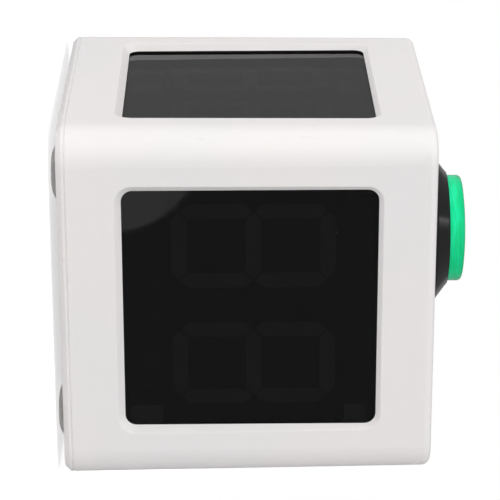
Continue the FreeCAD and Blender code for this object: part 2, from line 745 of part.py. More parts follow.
def coverPosts(body):
    posts = newSketch(body, "XY_Plane", "seam")
    holes = newSketch(body, "XY_Plane", "main_low")
    for x, y in mainHoles():
        circle(posts, "standoff_radius", x, y)
        circle(holes, "pilot", x, y)
    pad(body, posts, "standoff_tall")
    pocket(body, holes, "board_screw_long - board_thick + pilot_spare")
    posts = newSketch(body, "XY_Plane", "seam")
    holes = newSketch(body, "XY_Plane", "main_low")
    for y in clampHoles():
        circle(posts, "standoff_radius", "0", y)
        circle(holes, "pilot", "0", y)
    pad(body, posts, "standoff_tall")
    pocket(body, holes, "board_screw_long - board_thick + pilot_spare")


def clampHoles():
    return [f"tray_y {way} (clamp_side - hole_inset)" for way in ("-", "+")]


def soundPlace(body):
    sketch = newSketch(body, "XY_Plane", "seam")
    circle(sketch, "buzzer_radius + cell_gap + ring_wall", "rocker_x", "buzzer_y")
    circle(sketch, "buzzer_radius + cell_gap", "rocker_x", "buzzer_y")
    pad(body, sketch, "ring_tall")
    sketch = newSketch(body, "XY_Plane", "foot_tall")
    circle(sketch, "sound_hole", "rocker_x", "buzzer_y")
    for step in range(6):
        x = f"rocker_x + sound_ring * {math.cos(math.radians(60 * step)):.4f}"
        y = f"buzzer_y + sound_ring * {math.sin(math.radians(60 * step)):.4f}"
        circle(sketch, "sound_hole", x, y)
    pocket(body, sketch, "cover_thick", back=True)


def aroundRocker(sketch, long, wide):
    rectangle(
        sketch,
        f"rocker_x - ({long})",
        f"rocker_x + {long}",
        f"rocker_y - ({wide})",
        f"rocker_y + {wide}",
    )


def rockerPlace(body):
    sketch = newSketch(body, "XY_Plane", "seam - pad_root")
    aroundRocker(sketch, "case_long + rocker_edge + pad_edge", "case_wide + rocker_edge + pad_side")
    pad(body, sketch, "pad_tall + pad_root")
    sketch = newSketch(body, "XY_Plane", "foot_tall")
    aroundRocker(sketch, "slot_long + rocker_edge + rocker_fit", "slot_wide + rocker_edge + rocker_fit")
    pocket(body, sketch, "rocker_sink", back=True)
    sketch = newSketch(body, "XY_Plane", "foot_tall")
    aroundRocker(sketch, "case_long + rocker_fit", "case_wide + rocker_fit")
    pocket(body, sketch, "cover_thick + pad_tall", back=True)


def makeCover():
    body = newBody("bottom_cover")
    coverPlate(body)
    coverLips(body)
    coverPosts(body)
    soundPlace(body)
    rockerPlace(body)


def makeFeet():
    names = {(-1, -1): "front_left", (1, -1): "front_right", (-1, 1): "rear_left", (1, 1): "rear_right"}
    for (x, y), name in names.items():
        body = newBody("foot_" + name)
        sketch = newSketch(body, "XZ_Plane")
        outline(
            sketch,
            [
                ("0", "0"),
                ("foot_flat", "0"),
                ("foot_base", "foot_tall - foot_edge", "foot_crown"),
                ("foot_base", "foot_tall"),
                ("0", "foot_tall"),
            ],
        )
        revolve(body, sketch)
        place(body, f"{x} * foot_side", f"{y} * foot_side")


# --- fasteners: groups of equal screws, each screw a solid of its own ---


def screw(length):
    # A pan-head screw with its shank along +Z from the underside of the head.
    radius = value("screw_head")
    tall = value("head_tall")
    head = Part.makeCylinder(radius, tall, Vec(0, 0, -tall))
    rounded = [edge for edge in head.Edges if abs(edge.BoundBox.ZMax + tall) < 0.01]
    head = head.makeFillet(tall / 3, rounded)
    shank = Part.makeCylinder(value("screw_radius"), length)
    body = head.fuse(shank).removeSplitter()
    slot = radius * 0.6
    for turn in (0, 90):
        groove = Part.makeBox(2 * slot, slot / 2, tall / 2, Vec(-slot, -slot / 4, -tall))
        groove.rotate(Vec(), Vec(0, 0, 1), turn)
        body = body.cut(groove)
    return body


def screwGroup(label, length, places):
    # places holds (spot, direction of the shank).
    model = screw(value(length))
    copies = []
    for spot, way in places:
        one = model.copy()
        one.Placement = FreeCAD.Placement(spot, FreeCAD.Rotation(Vec(0, 0, 1), way))
        copies.append(one)
    group = keep(label, doc.addObject("Part::Feature", label))
    group.Shape = Part.makeCompound(copies)


def makeScrews():
    corner = value("foot_side")
    seat = value("foot_tall + head_sink")
    up = Vec(0, 0, 1)
    places = [(Vec(x * corner, y * corner, seat), up) for x, y in signs()]
    screwGroup("cover_screws", "cover_screw_long", places)
    places = []
    for quarter in range(4):
        turn = FreeCAD.Rotation(up, 90 * quarter)
        for x in (-value("post_side"), value("post_side")):
            for z in (value("post_low"), value("post_high")):
                places.append((turn.multVec(Vec(x, -value("core"), z)), turn.multVec(Vec(0, -1, 0))))
    screwGroup("display_screws", "board_screw_long", places)
    places = [(Vec(value(x), value(y), value("main_top")), Vec(0, 0, -1)) for x, y in mainHoles()]
    places += [(Vec(0, value(y), value("main_top")), Vec(0, 0, -1)) for y in clampHoles()]
    low = value("key_board_top - board_thick")
    for x in (-value("key_post"), value("key_post")):
        places.append((Vec(x, -value("key_front"), low), up))
    screwGroup("board_screws", "board_screw_long", places)


# --- the four display sides ---


def bars():
    # The seven bars of the right-hand digit as (x, z, half length, upright).
    wide = "(digit_far - digit_near) / 2"
    mid = "(digit_far + digit_near) / 2"
    half_bar = "bar_wide / 2"
    long_flat = f"{wide} - {half_bar} - bar_gap / 2"
    long_up = f"(digit_half - {half_bar}) / 2 - bar_gap / 2"
    found = []
    for z in (f"digit_mid - digit_half + {half_bar}", "digit_mid", f"digit_mid + digit_half - {half_bar}"):
        found.append((mid, z, long_flat, False))
    for x in (f"{mid} - {wide} + {half_bar}", f"{mid} + {wide} - {half_bar}"):
        for way in ("-", "+"):
            found.append((x, f"digit_mid {way} (digit_half - {half_bar}) / 2", long_up, True))
    return found


def barOutlines(sketch):
    half_bar = "bar_wide / 2"
    for x, z, long, upright in bars():
        corners = [
            (f"0 - ({long})", "0"),
            (f"{half_bar} - ({long})", f"0 - {half_bar}"),
            (f"({long}) - {half_bar}", f"0 - {half_bar}"),
            (f"({long})", "0"),
            (f"({long}) - {half_bar}", half_bar),
            (f"{half_bar} - ({long})", half_bar),
        ]
        if upright:
            corners = [(b, a) for a, b in corners]
        outline(sketch, [(f"{x} + {a}", f"{z} + {b}") for a, b in corners])


def secondDigit(body, feature, sketch):
    # Repeats the bars of one digit for the other, to its left.
    pattern = body.newObject("PartDesign::LinearPattern", "Digits")
    pattern.Originals = [feature]
    pattern.Direction = (sketch, ["H_Axis"])
    pattern.Reversed = True
    bind(pattern, Length="digit_far + digit_near")
    pattern.Occurrences = 2
    finished(body, pattern)


def makeWindow(label):
    body = newBody(label)
    sketch = newSketch(body, "XZ_Plane", "glass_back")
    roundedOutline(sketch, "0 - pane_half", "pane_half", "pane_low", "pane_high", "pane_corner")
    pad(body, sketch, "glass_thick")
    return body


def makeGasket(label):
    body = newBody(label)
    sketch = newSketch(body, "XZ_Plane", "glass_front")
    roundedOutline(sketch, "0 - pane_half", "pane_half", "pane_low", "pane_high", "pane_corner")
    roundedOutline(
        sketch,
        "0 - open_half - gasket_back",
        "open_half + gasket_back",
        "open_low - gasket_back",
        "open_high + gasket_back",
        "window_corner + gasket_back",
    )
    pad(body, sketch, "gasket_thick")
    return body


def makeDigitShells(label):
    body = newBody(label)
    sketch = newSketch(body, "XZ_Plane", "board_front")
    low = "digit_mid - shell_half"
    high = "digit_mid + shell_half"
    rectangle(sketch, "shell_split / 2", "open_half", low, high)
    rectangle(sketch, "0 - open_half", "0 - shell_split / 2", low, high)
    pad(body, sketch, "shell_deep")
    sketch = newSketch(body, "XZ_Plane", "shell_front")
    barOutlines(sketch)
    secondDigit(body, pocket(body, sketch, "bar_deep"), sketch)
    return body


def makeDigitBars(label):
    body = newBody(label)
    sketch = newSketch(body, "XZ_Plane", "shell_front - bar_deep")
    barOutlines(sketch)
    secondDigit(body, pad(body, sketch, "bar_deep"), sketch)
    return body


def makeDisplayBoard(label):
    body = newBody(label)
    sketch = newSketch(body, "XZ_Plane", "core")
    outer = "post_side + ear_half"
    inner = "post_side - ear_half"
    low = "post_low - ear_half"
    high = "post_high + ear_half"
    right = [(inner, "open_low"), (inner, low), (outer, low)]
    right += [(outer, high), (inner, high), (inner, "open_high")]
    left = [(f"0 - ({x})", z) for x, z in reversed(right)]
    outline(sketch, right + left)
    pad(body, sketch, "board_thick")
    sketch = newSketch(body, "XZ_Plane", "board_front")
    for x in ("0 - post_side", "post_side"):
        for z in ("post_low", "post_high"):
            circle(sketch, "pass_radius", x, z)
    pocket(body, sketch, "board_thick")
    return body


def makeDisplays():
    makers = {
        "window": makeWindow,
        "window_gasket": makeGasket,
        "digit_shells": makeDigitShells,
        "digit_bars": makeDigitBars,
        "display_board": makeDisplayBoard,
    }
    for quarter, name in enumerate(("front", "right", "rear", "left")):
        for label, maker in makers.items():
            body = maker(f"{label}_{name}")
            body.Placement = FreeCAD.Placement(Vec(), FreeCAD.Rotation(Vec(0, 0, 1), 90.0 * quarter))


# --- the push button, each piece about its own upright axis ---


def onButton(thing, x="0", y="0"):
    place(thing, x, f"button_back + {y}", "top")


def turned(label, corners):
    body = newBody(label)
    sketch = newSketch(body, "XZ_Plane")
    outline(sketch, corners)
    revolve(body, sketch)
    return body


def makeBezel():
    body = turned(
        "button_bezel",
        [
            ("guide", "0 - barrel_long"),
            ("barrel_radius", "0 - barrel_long"),
            ("barrel_radius", "seal_thick"),
            ("seal_radius", "seal_thick"),
            ("seal_radius", "0"),
            ("bezel_radius", "0"),
            ("bezel_radius", "bezel_side"),
            ("bezel_radius - bezel_turn", "bezel_slope", "bezel_curve"),
            ("rim_radius", "bezel_tall - bezel_lip"),
            ("well", "bezel_tall - bezel_lip", "rim_curve"),
            ("well", "bezel_base"),
            ("bore", "bezel_base"),
            ("bore", "floor_top"),
            ("guide", "floor_top"),
        ],
    )
    onButton(body)


def makeSeal():
    body = newBody("button_gasket")
    sketch = newSketch(body)
    circle(sketch, "seal_radius - cap_gap")
    circle(sketch, "barrel_radius + cap_gap")
    pad(body, sketch, "seal_thick")
    onButton(body)


GRIPS = 12


def makeNut():
    body = newBody("button_nut")
    sketch = newSketch(body, "XY_Plane", "0 - wall - nut_tall")
    circle(sketch, "barrel_radius + nut_gap + nut_wall")
    circle(sketch, "barrel_radius + nut_gap")
    pad(body, sketch, "nut_tall")
    sketch = newSketch(body, "XY_Plane", "0 - wall - nut_flange")
    circle(sketch, "nut_wall / 2", "barrel_radius + nut_gap + nut_wall + grip_out")
    grip = pocket(body, sketch, "nut_tall")
    around(body, [grip], GRIPS)
    onButton(body)


def makeCap():
    shoulder = "cap_radius - cap_round"
    inside = "cap_radius - cap_wall"
    dome = [f"(pow({x}; 2) + pow(cap_crown; 2)) / (2 * cap_crown)" for x in (shoulder, inside)]
    body = turned(
        "button_cap",
        [
            ("0", "cap_high + cap_crown - cap_wall"),
            (inside, "cap_high - cap_wall", f"0 - {dome[1]}"),
            (inside, "cap_low"),
            ("cap_radius", "cap_low"),
            ("cap_radius", "cap_high - cap_round"),
            (shoulder, "cap_high", "cap_round"),
            ("0", "cap_high + cap_crown", dome[0]),
        ],
    )
    onButton(body)


def makePlunger():
    flange = "cap_radius - cap_wall - cap_clip"
    collar = "0 - collar_depth - collar_tall"
    catch = "0 - barrel_long - slide_gap"
    body = turned(
        "button_plunger",
        [
            ("stem_bore", "stem_low"),
            ("stem_radius", "stem_low"),
            ("stem_radius", f"{catch} - collar_tall"),
            ("stem_radius + catch_wide", f"{catch} - collar_tall"),
            ("stem_radius + catch_wide", catch),
            ("stem_radius", catch),
            ("stem_radius", collar),
            ("collar_radius", collar),
            ("collar_radius", "0 - collar_depth"),
            ("stem_radius", "0 - collar_depth"),
            ("stem_radius", "cap_low + slide_gap"),
            (flange, "cap_low + slide_gap"),
            (flange, "cap_high - cap_wall - cap_clip"),
            (f"{flange} - flange_tall", "cap_high - cap_wall - cap_clip"),
            (f"{flange} - flange_tall", "flange_low"),
            ("stem_bore", "flange_low"),
        ],
    )
    onButton(body)


def makeSpring():
    helix = doc.addObject("Part::Helix", "SpringLine")
    bind(helix, Pitch="spring_pitch", Height="spring_high - spring_low", Radius="spring_radius")
    wire = doc.addObject("Part::Circle", "SpringWire")
    bind(wire, Radius="wire_radius")
    place(wire, "spring_radius", "0", "0", 90.0, Vec(1, 0, 0))
    doc.recompute()
    spring = doc.addObject("Part::Sweep", "button_spring")
    spring.Sections = [wire]
    spring.Spine = (helix, ["Edge1"])
    spring.Solid = True
    spring.Frenet = True
    keep("button_spring", spring)
    place(spring, "0", "button_back", "top + spring_low")


def makeLamp():
    foot = "0 - lamp_rise"
    body = turned(
        "button_lamp",
        [
            ("0", foot),
            ("lamp_radius", foot),
            ("lamp_radius", f"{foot} + lamp_tall - lamp_radius / 2"),
            ("0", f"{foot} + lamp_tall + lamp_radius / 2", "lamp_radius"),
        ],
    )
    onButton(body)
    body = turned(
        "lamp_holder",
        [
            ("0", "plate_top"),
            ("lamp_foot", "plate_top"),
            ("lamp_foot", "plate_top + collar_tall"),
            ("lamp_stem", "plate_top + collar_tall"),
            ("lamp_stem", foot),
            ("0", foot),
        ],
    )
    onButton(body)


def makeHolder():
    body = turned(
        "switch_holder",
        [
            ("0", "plate_low"),
            ("holder_radius", "plate_low"),
            ("holder_radius", "holder_over - barrel_long"),
            ("holder_bore", "holder_over - barrel_long"),
            ("holder_bore", "plate_top"),
            ("0", "plate_top"),
        ],
    )
    sketch = newSketch(body, "XY_Plane", "plate_top")
    circle(sketch, "pin_radius + pin_clear", "0", "0 - pin_side")
    for x in ("0 - lamp_stem / 2", "lamp_stem / 2"):
        circle(sketch, "cable_radius / 2", x, "0")
    pocket(body, sketch, "holder_plate")
    sketch = newSketch(body, "XZ_Plane", "0 - holder_radius - through")
    half = "stem_radius / 2"
    rectangle(sketch, f"0 - {half}", half, "plate_top + collar_tall", "0 - barrel_long - slide_gap")
    opening = pocket(body, sketch, "holder_radius", back=True)
    around(body, [opening], 2)
    for way in (-1, 1):
        sketch = newSketch(body, "XY_Plane", "plate_low")
        near = f"{way} * (switch_wide / 2 + switch_drop)"
        far = f"{way} * (switch_wide / 2 + switch_drop + holder_plate)"
        ends = (near, far) if way > 0 else (far, near)
        rectangle(sketch, *ends, "0 - pin_side - switch_deep / 2", "switch_deep / 2 - pin_side")
        pad(body, sketch, "switch_tall - switch_hole", back=True)
    onButton(body)


def makeMicroswitch():
    body = newBody("microswitch")
    sketch = newSketch(body, "XZ_Plane", "pin_side - switch_deep / 2")
    half = "switch_wide / 2"
    rectangle(sketch, f"0 - {half}", half, "switch_top - switch_tall", "switch_top")
    for x in (-1, 1):
        across = f"{x} * (switch_wide / 2 - switch_hole)"
        circle(sketch, "screw_radius", across, "switch_top - switch_tall + switch_hole")
    pad(body, sketch, "switch_deep")
    sketch = newSketch(body, "XY_Plane", "switch_top")
    circle(sketch, "pin_radius + pin_gap", "0", "0 - pin_side")
    pocket(body, sketch, "pin_sunk + pin_travel + pin_clear")
    onButton(body)
    pin = rod(
        "pin_radius",
        "0",
        "button_back - pin_side",
        "top + switch_top - pin_sunk",
        "pin_top - switch_top + pin_sunk",
    )
    keep("switch_plunger", pin)
    blades = []
    for x in ("0 - switch_wide / 3", "0", "switch_wide / 3"):
        blades.append(
            block(
                (f"{x} - blade_thin", f"{x} + blade_thin"),
                ("button_back - pin_side - blade_half", "button_back - pin_side + blade_half"),
                ("top + switch_top - switch_tall - blade_long", "top + switch_top - switch_tall"),
            )
        )
    keep("switch_terminals", join("Compound", blades))


def makeButton():
    makeBezel()
    makeSeal()
    makeNut()
    makeCap()
    makePlunger()
    makeSpring()
    makeLamp()
    makeHolder()
    makeMicroswitch()


# --- set keys ---


def keyMark(body, name):
    long = "key_mark / 2"
    thin = "mark_wide / 2"
    if name == "middle":
        sketch = newSketch(body, "XY_Plane", "key_proud")
        circle(sketch, long)
        circle(sketch, f"{long} - mark_wide")
        pocket(body, sketch, "mark_deep")
        return
    sketch = newSketch(body, "XY_Plane", "key_proud")
    rectangle(sketch, f"0 - {long}", long, f"0 - {thin}", thin)
    pocket(body, sketch, "mark_deep")
    if name == "right":
        sketch = newSketch(body, "XY_Plane", "key_proud")
        rectangle(sketch, f"0 - {thin}", thin, f"0 - {long}", long)
        pocket(body, sketch, "mark_deep")


def makeKeys():
    under = "0 - wall - key_gap"
    foot = f"{under} - key_thick"
    switches = []
    for step, name in ((-1, "left"), (0, "middle"), (1, "right")):
        body = turned(
            "set_key_" + name,
            [
                ("0", f"{foot} - key_stem"),
                ("stem_slim", f"{foot} - key_stem"),
                ("stem_slim", foot),
                ("key_radius + key_flange", foot),
                ("key_radius + key_flange", under),
                ("key_radius", under),
                ("key_radius", "key_proud - key_round"),
                ("key_radius - key_round", "key_proud", "key_round"),
                ("0", "key_proud"),
            ],
        )
        keyMark(body, name)
        x = f"{step} * key_pitch"
        place(body, x, "0 - key_front", "top")
        half = "key_switch / 2"
        switches.append(
            block(
                (f"{x} - {half}", f"{x} + {half}"),
                (f"0 - key_front - {half}", f"{half} - key_front"),
                ("key_board_top", "key_board_top + key_switch_tall"),
            )
        )
        switches.append(
            rod("stem_slim", x, "0 - key_front", "key_board_top + key_switch_tall", "key_dome")
        )
    keep("key_switches", join("Compound", switches))


def makeKeyBoard():
    body = newBody("key_board")
    sketch = newSketch(body, "XY_Plane", "key_board_top")
    low = "0 - key_front - key_board_deep / 2"
    high = "key_board_deep / 2 - key_front"
    rectangle(sketch, "0 - key_board_half", "key_board_half", low, high)
    for x in ("0 - key_post", "key_post"):
        circle(sketch, "pass_radius", x, "0 - key_front")
    pad(body, sketch, "board_thick", back=True)


# --- boards, sound, battery and power ---


# Parts on the main board: x, y from its middle, then length, depth and height.
CHIPS = [(-3, -1, 12, 12, 1.6), (11, 2, 5, 4, 1.8), (-14, 3, 6, 6, 3.2), (9, -5, 4, 4, 2.4)]
# Capacitors: x, y, radius and height.
CANS = [(4, 7, 3.2, 9), (16, -4, 4, 11)]
# Where each cable is plugged in: x, y from the middle of the main board.
PLUGS = {
    "display_front": (4, -13.8),
    "display_right": (22.9, 4),
    "display_rear": (-3, 13.8),
    "display_left": (-22.9, -6.5),
    "button": (-5, -13.8),
    "keys": (-14, -13.8),
    "cells": (13, -13.8),
    "inlet": (-18, 13.8),
    "rocker": (-22.9, 5),
    "buzzer": (-22.9, -1),
}


def makeMainBoard():
    body = newBody("main_board")
    sketch = newSketch(body, "XY_Plane", "main_low")
    rectangle(sketch, "main_left", "main_right", "main_front", "main_rear")
    for x, y in mainHoles():
        circle(sketch, "pass_radius", x, y)
    pad(body, sketch, "board_thick")
    pieces = []
    for x, y, long, deep, tall in CHIPS:
        wide = (f"main_x + {x - long / 2}", f"main_x + {x + long / 2}")
        back = (f"main_y + {y - deep / 2}", f"main_y + {y + deep / 2}")
        pieces.append(block(wide, back, ("main_top", f"main_top + {tall}")))
    for x, y, radius, tall in CANS:
        pieces.append(rod(radius, f"main_x + {x}", f"main_y + {y}", "main_top", tall))
    for x, y in PLUGS.values():
        wide = (f"main_x + {x} - plug_half", f"main_x + {x} + plug_half")
        back = (f"main_y + {y} - plug_half", f"main_y + {y} + plug_half")
        pieces.append(block(wide, back, ("main_top", "main_top + plug_tall")))
    keep("board_parts", join("Compound", pieces))


def makeBuzzer():
    body = newBody("buzzer")
    sketch = newSketch(body, "XY_Plane", "seam")
    circle(sketch, "buzzer_radius")
    pad(body, sketch, "buzzer_tall")
    sketch = newSketch(body, "XY_Plane", "seam")
    circle(sketch, "mouth_radius")
    pocket(body, sketch, "mouth_deep", back=True)
    place(body, "rocker_x", "buzzer_y")


def cellPlaces():
    return [f"tray_y {way} cell_pitch / 2" for way in ("-", "+")]


def makeBattery():
    body = newBody("battery_tray")
    sketch = newSketch(body, "XY_Plane", "seam")
    rectangle(sketch, "0 - tray_long", "tray_long", "tray_y - tray_half", "tray_y + tray_half")
    pad(body, sketch, "tray_tall")
    sketch = newSketch(body, "YZ_Plane", "0 - cell_long / 2 - contact_thick - through")
    for y in cellPlaces():
        circle(sketch, "trough", y, "cell_high")
    pocket(body, sketch, "cell_long + 2 * (contact_thick + through)", back=True)
    cells = []
    contacts = []
    for y in cellPlaces():
        cells.append(rod("cell_radius", "0 - cell_long / 2", y, "cell_high", "cell_long", **ALONG_X))
        for way in (-1, 1):
            near = f"{way} * cell_long / 2"
            far = f"{way} * (cell_long / 2 + contact_thick)"
            ends = (near, far) if way > 0 else (far, near)
            wide = (f"{y} - contact_half", f"{y} + contact_half")
            contacts.append(block(ends, wide, ("cell_high - contact_half", "cell_high + contact_rise")))
    keep("battery_cells", join("Compound", cells))
    keep("battery_contacts", join("Compound", contacts))


def makeClamp():
    # A bridge over the cells with a foot at each side, screwed to the cover's posts.
    body = newBody("battery_clamp")
    crown = "cell_high + cell_radius + cell_gap + clamp_thick"
    side = "(tray_half + cell_gap)"
    sketch = newSketch(body, "YZ_Plane", "0 - clamp_wide / 2")
    foot = "main_low + board_thick"
    outline(
        sketch,
        [
            ("tray_y - clamp_side", "main_low"),
            (f"tray_y - {side}", "main_low"),
            (f"tray_y - {side}", f"{crown} - clamp_thick"),
            (f"tray_y + {side}", f"{crown} - clamp_thick"),
            (f"tray_y + {side}", "main_low"),
            ("tray_y + clamp_side", "main_low"),
            ("tray_y + clamp_side", foot),
            (f"tray_y + {side} + clamp_thick", foot),
            (f"tray_y + {side} + clamp_thick", crown),
            (f"tray_y - {side} - clamp_thick", crown),
            (f"tray_y - {side} - clamp_thick", foot),
            ("tray_y - clamp_side", foot),
        ],
    )
    pad(body, sketch, "clamp_wide")
    sketch = newSketch(body, "XY_Plane", foot)
    for y in clampHoles():
        circle(sketch, "pass_radius", "0", y)
    pocket(body, sketch, "board_thick")


def makeInlet():
    # Turned about a line along Y: x is the radius, y the distance from the middle of the timer.
    body = newBody("inlet_socket")
    sketch = newSketch(body, "XY_Plane", "inlet_high")
    face = "side / 2"
    outline(
        sketch,
        [
            ("0", f"{face} - flange_thick - inlet_long"),
            ("inlet_thread", f"{face} - flange_thick - inlet_long"),
            ("inlet_thread", f"{face} - flange_thick"),
            ("inlet_flange", f"{face} - flange_thick"),
            ("inlet_flange", f"{face} - seam_bevel"),
            ("inlet_flange - seam_bevel", face),
            ("socket_radius", face),
            ("socket_radius", f"{face} - socket_deep"),
            ("0", f"{face} - socket_deep"),
        ],
    )
    revolve(body, sketch)
    contact = rod(
        "contact_radius", "0", f"{face} - socket_deep", "inlet_high", "socket_deep - contact_back", **ALONG_Y
    )
    keep("inlet_pin", contact)
    nut = doc.addObject("Part::Prism", "NutBlank")
    nut.Polygon = 6
    bind(nut, Circumradius="inlet_nut_radius", Height="inlet_nut_tall")
    place(nut, "0", "inlet_land - inlet_nut_tall", "inlet_high", **ALONG_Y)
    hole = rod(
        "inlet_thread + nut_gap",
        "0",
        "inlet_land - inlet_nut_tall - through",
        "inlet_high",
        "inlet_nut_tall + 2 * through",
        **ALONG_Y,
    )
    keep("inlet_nut", cut(nut, hole))


def makeRocker():
    body = newBody("rocker_housing")
    sketch = newSketch(body, "XY_Plane", "flange_face")
    aroundRocker(sketch, "slot_long + rocker_edge", "slot_wide + rocker_edge")
    pad(body, sketch, "rocker_flange")
    sketch = newSketch(body, "XY_Plane", "flange_face + rocker_flange")
    aroundRocker(sketch, "case_long", "case_wide")
    pad(body, sketch, "rocker_body")
    sketch = newSketch(body, "XY_Plane", "flange_face")
    aroundRocker(sketch, "slot_long", "slot_wide")
    pocket(body, sketch, "rocker_face + axle_radius + rocker_long / 3", back=True)
    sketch = newSketch(body, "XZ_Plane", "0 - rocker_y - case_wide - through")
    circle(sketch, "axle_radius + axle_gap", "rocker_x", "rocker_pivot")
    pocket(body, sketch, "2 * (case_wide + through)", back=True)

    body = newBody("rocker")
    sketch = newSketch(body, "XZ_Plane", "0 - rocker_wide / 2")
    half = "rocker_long / 2"
    tip = f"0 - rocker_face - {half} * {math.sin(math.radians(value('rocker_tilt'))):.4f}"
    outline(
        sketch,
        [
            ("0", "0 - rocker_face"),
            (f"{half} * tip_part", tip),
            (f"{half} * side_part", "0"),
            (f"{half} * back_part", "axle_radius * hub_part"),
            (f"0 - {half} * back_part", "axle_radius * hub_part"),
            (f"0 - {half} * side_part", "0"),
            (f"0 - {half} * tip_part", tip),
        ],
    )
    pad(body, sketch, "rocker_wide")
    sketch = newSketch(body, "XZ_Plane", "0 - case_wide")
    circle(sketch, "axle_radius")
    pad(body, sketch, "2 * case_wide")
    place(body, "rocker_x", "rocker_y", "rocker_pivot", -value("rocker_tilt"), Vec(0, 1, 0))


# --- internal cables ---


def cable(label, points):
    # Straight runs joined by arcs, each arc as large as its two runs allow.
    spots = [Vec(value(x), value(y), value(z)) for x, y, z in points]
    edges = []
    radii = []
    start = spots[0]
    for before, corner, after in zip(spots, spots[1:], spots[2:]):
        back = before.sub(corner)
        ahead = after.sub(corner)
        run = 0.45 * min(back.Length, ahead.Length)
        half = (math.pi - back.getAngle(ahead)) / 2
        radius = run / math.tan(half)
        back.normalize()
        ahead.normalize()
        inward = (back + ahead).normalize()
        crown = corner + inward * (radius / math.cos(half) - radius)
        edges.append(Part.LineSegment(start, corner + back * run).toShape())
        edges.append(Part.Arc(corner + back * run, crown, corner + ahead * run).toShape())
        start = corner + ahead * run
        radii.append(round(radius, 1))
    edges.append(Part.LineSegment(start, spots[-1]).toShape())
    path = Part.Wire(edges)
    thick = value("cable_radius")
    section = Part.Wire([Part.makeCircle(thick, spots[0], spots[1].sub(spots[0]))])
    tube = path.makePipeShell([section], True, False)
    share = tube.Volume / (math.pi * thick * thick * path.Length)
    print(label, "arcs", radii, "length", round(path.Length, 1), "volume as a share", round(share, 4))
    return tube


def fromPlug(name, *points):
    # Starts straight up out of the cable's plug on the main board.
    x, y = PLUGS[name]
    x = f"main_x + {x}"
    y = f"main_y + {y}"
    level = points[0]
    route = [(x, y, "main_top + plug_tall"), (x, y, level)]
    return cable(name, route + list(points[1:]))


def makeCables():
    x = {name: f"main_x + {spot[0]}" for name, spot in PLUGS.items()}
    y = {name: f"main_y + {spot[1]}" for name, spot in PLUGS.items()}
    level = "cable_level"
    tubes = [
        fromPlug("display_front", level, (x["display_front"], "0 - core", level)),
        fromPlug("display_right", level, ("core", y["display_right"], level)),
        fromPlug("display_rear", level, (x["display_rear"], "core", level)),
        fromPlug("display_left", level, ("0 - core", y["display_left"], level)),
    ]
    group = keep("display_cables", doc.addObject("Part::Feature", "display_cables"))
    group.Shape = Part.makeCompound(tubes)
    pin_y = "button_back - pin_side"
    under = "top + switch_top - switch_tall - blade_long"
    key_under = "key_board_top - board_thick"
    key_x = "0 - key_pitch - key_board_end / 4"
    inlet_back = "side / 2 - flange_thick - inlet_long"
    plug_back = y["inlet"] + " + plug_half"
    plug_mid = "main_top + plug_tall / 2"
    third = f"({inlet_back} - ({plug_back})) / 3"
    contact_x = "cell_long / 2 + contact_thick"
    contact_y = "tray_y + cell_pitch / 2"
    contact_z = "cell_high + contact_rise - 1.5 * cable_radius"
    beside = "tray_long + 2 * plug_half"
    case_top = "flange_face + rocker_flange + rocker_body"
    lead_x = "rocker_x + buzzer_radius / 2"
    tubes = [
        fromPlug("button", level, ("0", pin_y, f"{level} + 4 * plug_half"), ("0", pin_y, under)),
        fromPlug(
            "keys",
            level,
            (key_x, "0 - key_front", "(top + cable_level) / 2"),
            (key_x, "0 - key_front", key_under),
        ),
        fromPlug(
            "cells",
            "cable_low",
            (beside, "tray_y + tray_half", contact_z),
            (beside, contact_y, contact_z),
            (contact_x, contact_y, contact_z),
        ),
        cable(
            "inlet",
            [
                (x["inlet"], plug_back, plug_mid),
                (x["inlet"], f"{plug_back} + {third}", plug_mid),
                (x["inlet"], f"{inlet_back} - {third}", "inlet_high"),
                (x["inlet"], inlet_back, "inlet_high"),
            ],
        ),
        fromPlug(
            "rocker",
            "cable_low",
            ("rocker_x", "rocker_y", "cable_low"),
            ("rocker_x", "rocker_y", case_top),
        ),
        fromPlug(
            "buzzer",
            "cable_low",
            (lead_x, "buzzer_y", "cable_low"),
            (lead_x, "buzzer_y", "seam + buzzer_tall"),
        ),
    ]
    group = keep("power_cables", doc.addObject("Part::Feature", "power_cables"))
    group.Shape = Part.makeCompound(tubes)


def checkAndWrite():
    doc.recompute()
    for thing in doc.Objects:
        if "Invalid" in thing.State or "Error" in thing.State:
            raise ValueError(f"{thing.Name} ({thing.Label}) failed: {thing.State}")
    for label, thing in nodes.items():
        if thing.Shape.isNull() or not thing.Shape.isValid():
            raise ValueError(f"{label} has no valid shape")
    os.makedirs("parts", exist_ok=True)
    for label, thing in nodes.items():
        thing.Shape.exportStep(f"parts/{label}.step")
    print(len(nodes), "nodes written")


fillSheet()
makeHousing()
makeCover()
makeFeet()
makeScrews()
makeDisplays()
makeButton()
makeKeys()
makeKeyBoard()
makeMainBoard()
makeBuzzer()
makeBattery()
makeClamp()
makeInlet()
makeRocker()
makeCables()
checkAndWrite()
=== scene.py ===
import math

import bmesh
import bpy
from mathutils import Matrix, Vector


